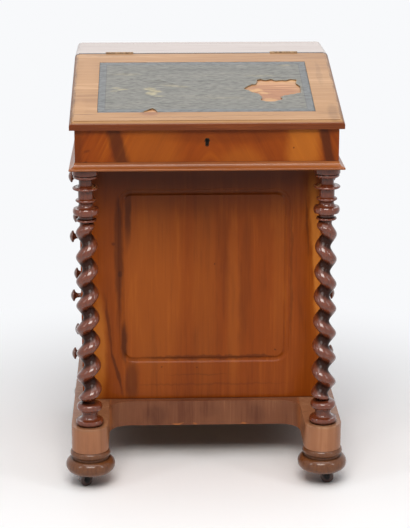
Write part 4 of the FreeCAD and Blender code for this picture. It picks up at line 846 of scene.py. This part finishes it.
# Some of these dark marks lie along the raised ridges and the curled lip at the tear, as painted shade beside
# them; the others are dark flecks and stains in the skin.
leather_dark_and_ridge_shade = [(-150, 147, 5, 4, 0, 0.8), (-174, 213, 6, 3, 0, 0.6), (0, 158, 46, 3, 0, 0.45),
                (-4, 231, 12, 4, 0, 0.35), (-95, 166, 34, 4, -12, 0.5), (150, 143, 40, 4, 0, 0.6),
                (60, 214, 30, 3, 0, 0.2), (0, 96, 210, 10, 0, 0.25)]
leather_rubbed = [(-180, 194, 13, 6, 0, 0.6), (-168, 203, 16, 6, -10, 0.8), (-184, 212, 10, 5, 0, 0.5),
                  (-112, 200, 16, 9, 0, 0.9), (-102, 212, 18, 10, 20, 1.0), (-110, 226, 16, 11, 0, 0.9),
                  (-94, 238, 15, 6, 0, 0.5), (172, 75, 17, 5, 0, 0.6), (-60, 186, 42, 8, 10, 0.4),
                  (120, 132, 50, 6, 0, 0.3), (-160, 120, 44, 8, 0, 0.3), (40, 250, 60, 6, 0, 0.2)]


def border_depth(tree):
    """How far a place lies outside the tooled line, in metres; less than nothing within it."""
    place = add(tree, "ShaderNodeTexCoord").outputs["Object"]
    parts = add(tree, "ShaderNodeSeparateXYZ", {0: place}).outputs
    middle = (leather_y0 + leather_y1) / 2
    over_side = field(tree, "SUBTRACT", field(tree, "ABSOLUTE", parts["X"]), (half - BORDER) * MM)
    off = field(tree, "ABSOLUTE", field(tree, "SUBTRACT", parts["Y"], middle))
    over_end = field(tree, "SUBTRACT", off, (leather_y1 - leather_y0) / 2 - BORDER * MM)
    return field(tree, "MAXIMUM", over_side, over_end)


def skiver():
    """Old sheepskin, matt, with fine wrinkles across the lid."""
    material, tree, shader = new_material("sheepskin_skiver", Roughness=0.5, IOR=1.48)
    cloud = grain_noise(tree, "X", 22, 60, Detail=5.0, Roughness=0.65)
    skin = ramp(tree, cloud.outputs[0], (0.35, "#71716b"), (0.52, "#777670"), (0.68, "#7f7d74"))
    outside = border_depth(tree)
    edge = field(tree, "GREATER_THAN", outside, 0.0)
    skin = mixed(tree, field(tree, "MULTIPLY", edge, 0.6), skin, "#6a6f75")
    line = field(tree, "LESS_THAN", field(tree, "ABSOLUTE", outside), BORDER_LINE / 2 * MM)
    skin = mixed(tree, field(tree, "MULTIPLY", line, 0.45), skin, "#3c3f3c")
    skin = mixed(tree, marks(tree, down_the_lid(leather_rubbed), "XY", 7), skin, "#a39a7c")
    skin = mixed(tree, marks(tree, down_the_lid(leather_dark_and_ridge_shade), "XY", 3), skin, "#3a3a36")
    # The wrinkle noise darkens the colour in the wrinkles as well as denting them: partly dirt, partly
    # painted shade.
    crease = grain_noise(tree, "X", 2.2, 14, Detail=3.0).outputs[0]
    crease_dirt_and_shade = mixed(tree, 1.0, skin, ramp(tree, crease, (0.32, "#b4b4b4"), (0.6, "#ffffff")), "MULTIPLY")
    gap = add(tree, "ShaderNodeAttribute", attribute_name="torn_gap")
    torn = remap(tree, gap.outputs["Fac"], 0.3, 2.2, 0.5, 0.0)
    tree.links.new(mixed(tree, torn, crease_dirt_and_shade, "#a08a68"), shader.inputs["Base Color"])
    pebble = add(tree, "ShaderNodeTexVoronoi", {"Vector": stretched(tree, "X", 1.6, 2.6), "Scale": 1.0})
    relief = add(tree, "ShaderNodeMix", {0: 0.65, 2: pebble.outputs["Distance"], 3: crease})
    dent(tree, shader, relief.outputs[0], 0.5, 0.5)
    return material


sheet_mesh.materials.append(skiver())
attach(leather, "lid")
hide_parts("lid_leather")
print("leather cut to", round(2 * half, 1), "by", round(front - rear, 1), "mm")

# %% [markdown]
# ## Room, light and camera
# A plain pale floor under soft studio light. A key lamp stands high in front, so that the box shades the
# pedestal below it; a second hangs overhead; two narrow ones at the sides draw the bright lines on the
# twists; a dim one behind puts a sheen on the level top. The floor is wide and flat, so the desk can be
# looked at from every side. Between the desk's feet and about a metre from its middle the floor turns to an
# even near-white for the camera and for reflections, as the room above it does, which hides the horizon from
# above. For light that reaches the desk the room is dim, which keeps the shadow under it deep, and an ambient
# occlusion node darkens the floor's colour near and under the desk as a painted shadow.

# %% Stage
FLOOR_CODE = "#fafbfd"
BACKDROP_CODE = "#f8f9fb"
FLOOR_REACH = 60.0                    # metres from the middle to the floor's edge
FADE_FROM, FADE_TO = 0.34, 1.15       # metres from the middle: lit floor, backdrop
PAINTED_SHADOW_REACH = 0.3                   # metres, how far from the desk its contact shadow reaches


def seen(tree):
    """1 for rays that show a thing to the eye, straight or by reflection, and 0 for those that light it."""
    rays = add(tree, "ShaderNodeLightPath").outputs
    mirrored = field(tree, "MAXIMUM", rays["Is Glossy Ray"], rays["Is Transmission Ray"])
    return field(tree, "MAXIMUM", rays["Is Camera Ray"], mirrored)


def floor_paper():
    """Matt white paper with a painted shadow near the desk, fading into the backdrop with distance from the
    desk.
    """
    material, tree, shader = new_material("matt_paper_floor", Roughness=0.9, Specular_IOR_Level=0.1)
    # Painted shadow: an ambient occlusion node darkens the floor's colour near and under the desk.
    painted_shadow_ao = add(tree, "ShaderNodeAmbientOcclusion", {"Distance": PAINTED_SHADOW_REACH}, samples=12)
    shade = ramp(tree, painted_shadow_ao.outputs["AO"], (0.05, "#acacaa"), (0.5, "#ffffff"))
    tree.links.new(mixed(tree, 1.0, FLOOR_CODE, shade, "MULTIPLY"), shader.inputs["Base Color"])
    place = add(tree, "ShaderNodeTexCoord").outputs["Object"]
    reach = add(tree, "ShaderNodeVectorMath", {0: place}, operation="LENGTH").outputs["Value"]
    far = remap(tree, reach, FADE_FROM, FADE_TO, kind="SMOOTHSTEP")
    glow = add(tree, "ShaderNodeEmission", {"Color": srgb(BACKDROP_CODE), "Strength": 1.0})
    blend = add(tree, "ShaderNodeMixShader", {0: field(tree, "MULTIPLY", seen(tree), far),
                                              1: shader.outputs[0], 2: glow.outputs[0]})
    tree.links.new(blend.outputs[0], tree.nodes["Material Output"].inputs["Surface"])
    return material


floor_mesh = bpy.data.meshes.new("studio_floor")
floor_corners = [(x * FLOOR_REACH, y * FLOOR_REACH, 0.0) for x, y in ((-1, -1), (1, -1), (1, 1), (-1, 1))]
floor_mesh.from_pydata(floor_corners, [], [(0, 1, 2, 3)])
floor_mesh.materials.append(floor_paper())
floor = new_piece("studio_floor", floor_mesh)


def lamp(name, place, target, size, power, colour="#ffffff"):
    """A rectangular soft lamp that faces a target."""
    light = bpy.data.lights.new(name, "AREA")
    light.shape = "RECTANGLE"
    light.size, light.size_y = size
    light.energy = power
    light.color = srgb(colour)[:3]
    holder = bpy.data.objects.new(name, light)
    holder.location = place
    holder.rotation_euler = (Vector(target) - Vector(place)).to_track_quat("-Z", "Y").to_euler()
    bpy.context.scene.collection.objects.link(holder)
    print(name, "lamp:", power, "W")


lamp("key", (-0.2, -2.4, 2.7), (0.0, 0.0, 0.5), (1.8, 1.1), 69, "#fffaf4")
lamp("overhead", (0.1, -0.5, 3.2), (0.0, 0.0, 0.5), (3.0, 2.2), 42)
lamp("left", (-1.8, -1.3, 1.5), (-0.24, -0.2, 0.5), (0.15, 1.2), 6)
lamp("right", (1.8, -1.3, 1.5), (0.24, -0.2, 0.5), (0.15, 1.2), 6)
lamp("behind", (0.0, 2.3, 2.1), (0.0, 0.0, 0.8), (2.6, 1.2), 12)

ROOM = 0.17                   # strength of the light that the room gives the desk
world = bpy.data.worlds.new("pale_room")
bpy.context.scene.world = world
world.use_nodes = True
surround = world.node_tree.nodes["Background"]
surround.inputs["Color"].default_value = srgb(BACKDROP_CODE)
strength = field(world.node_tree, "MULTIPLY_ADD", seen(world.node_tree), 1.0 - ROOM, ROOM)
world.node_tree.links.new(strength, surround.inputs["Strength"])

# %% Camera
camera_data = bpy.data.cameras.new("camera")
camera_data.lens = 120.6
camera_data.sensor_width = 36
camera = bpy.data.objects.new("camera", camera_data)
camera.location = (-0.1153, -3.66015, 1.4253)
AIM = Vector((0.0314, 0.9633, -0.2666))
camera.rotation_euler = AIM.to_track_quat("-Z", "Y").to_euler()
bpy.context.scene.collection.objects.link(camera)
bpy.context.scene.camera = camera
bpy.context.scene.view_settings.view_transform = "Standard"
print("camera at", [round(v, 3) for v in camera.location])
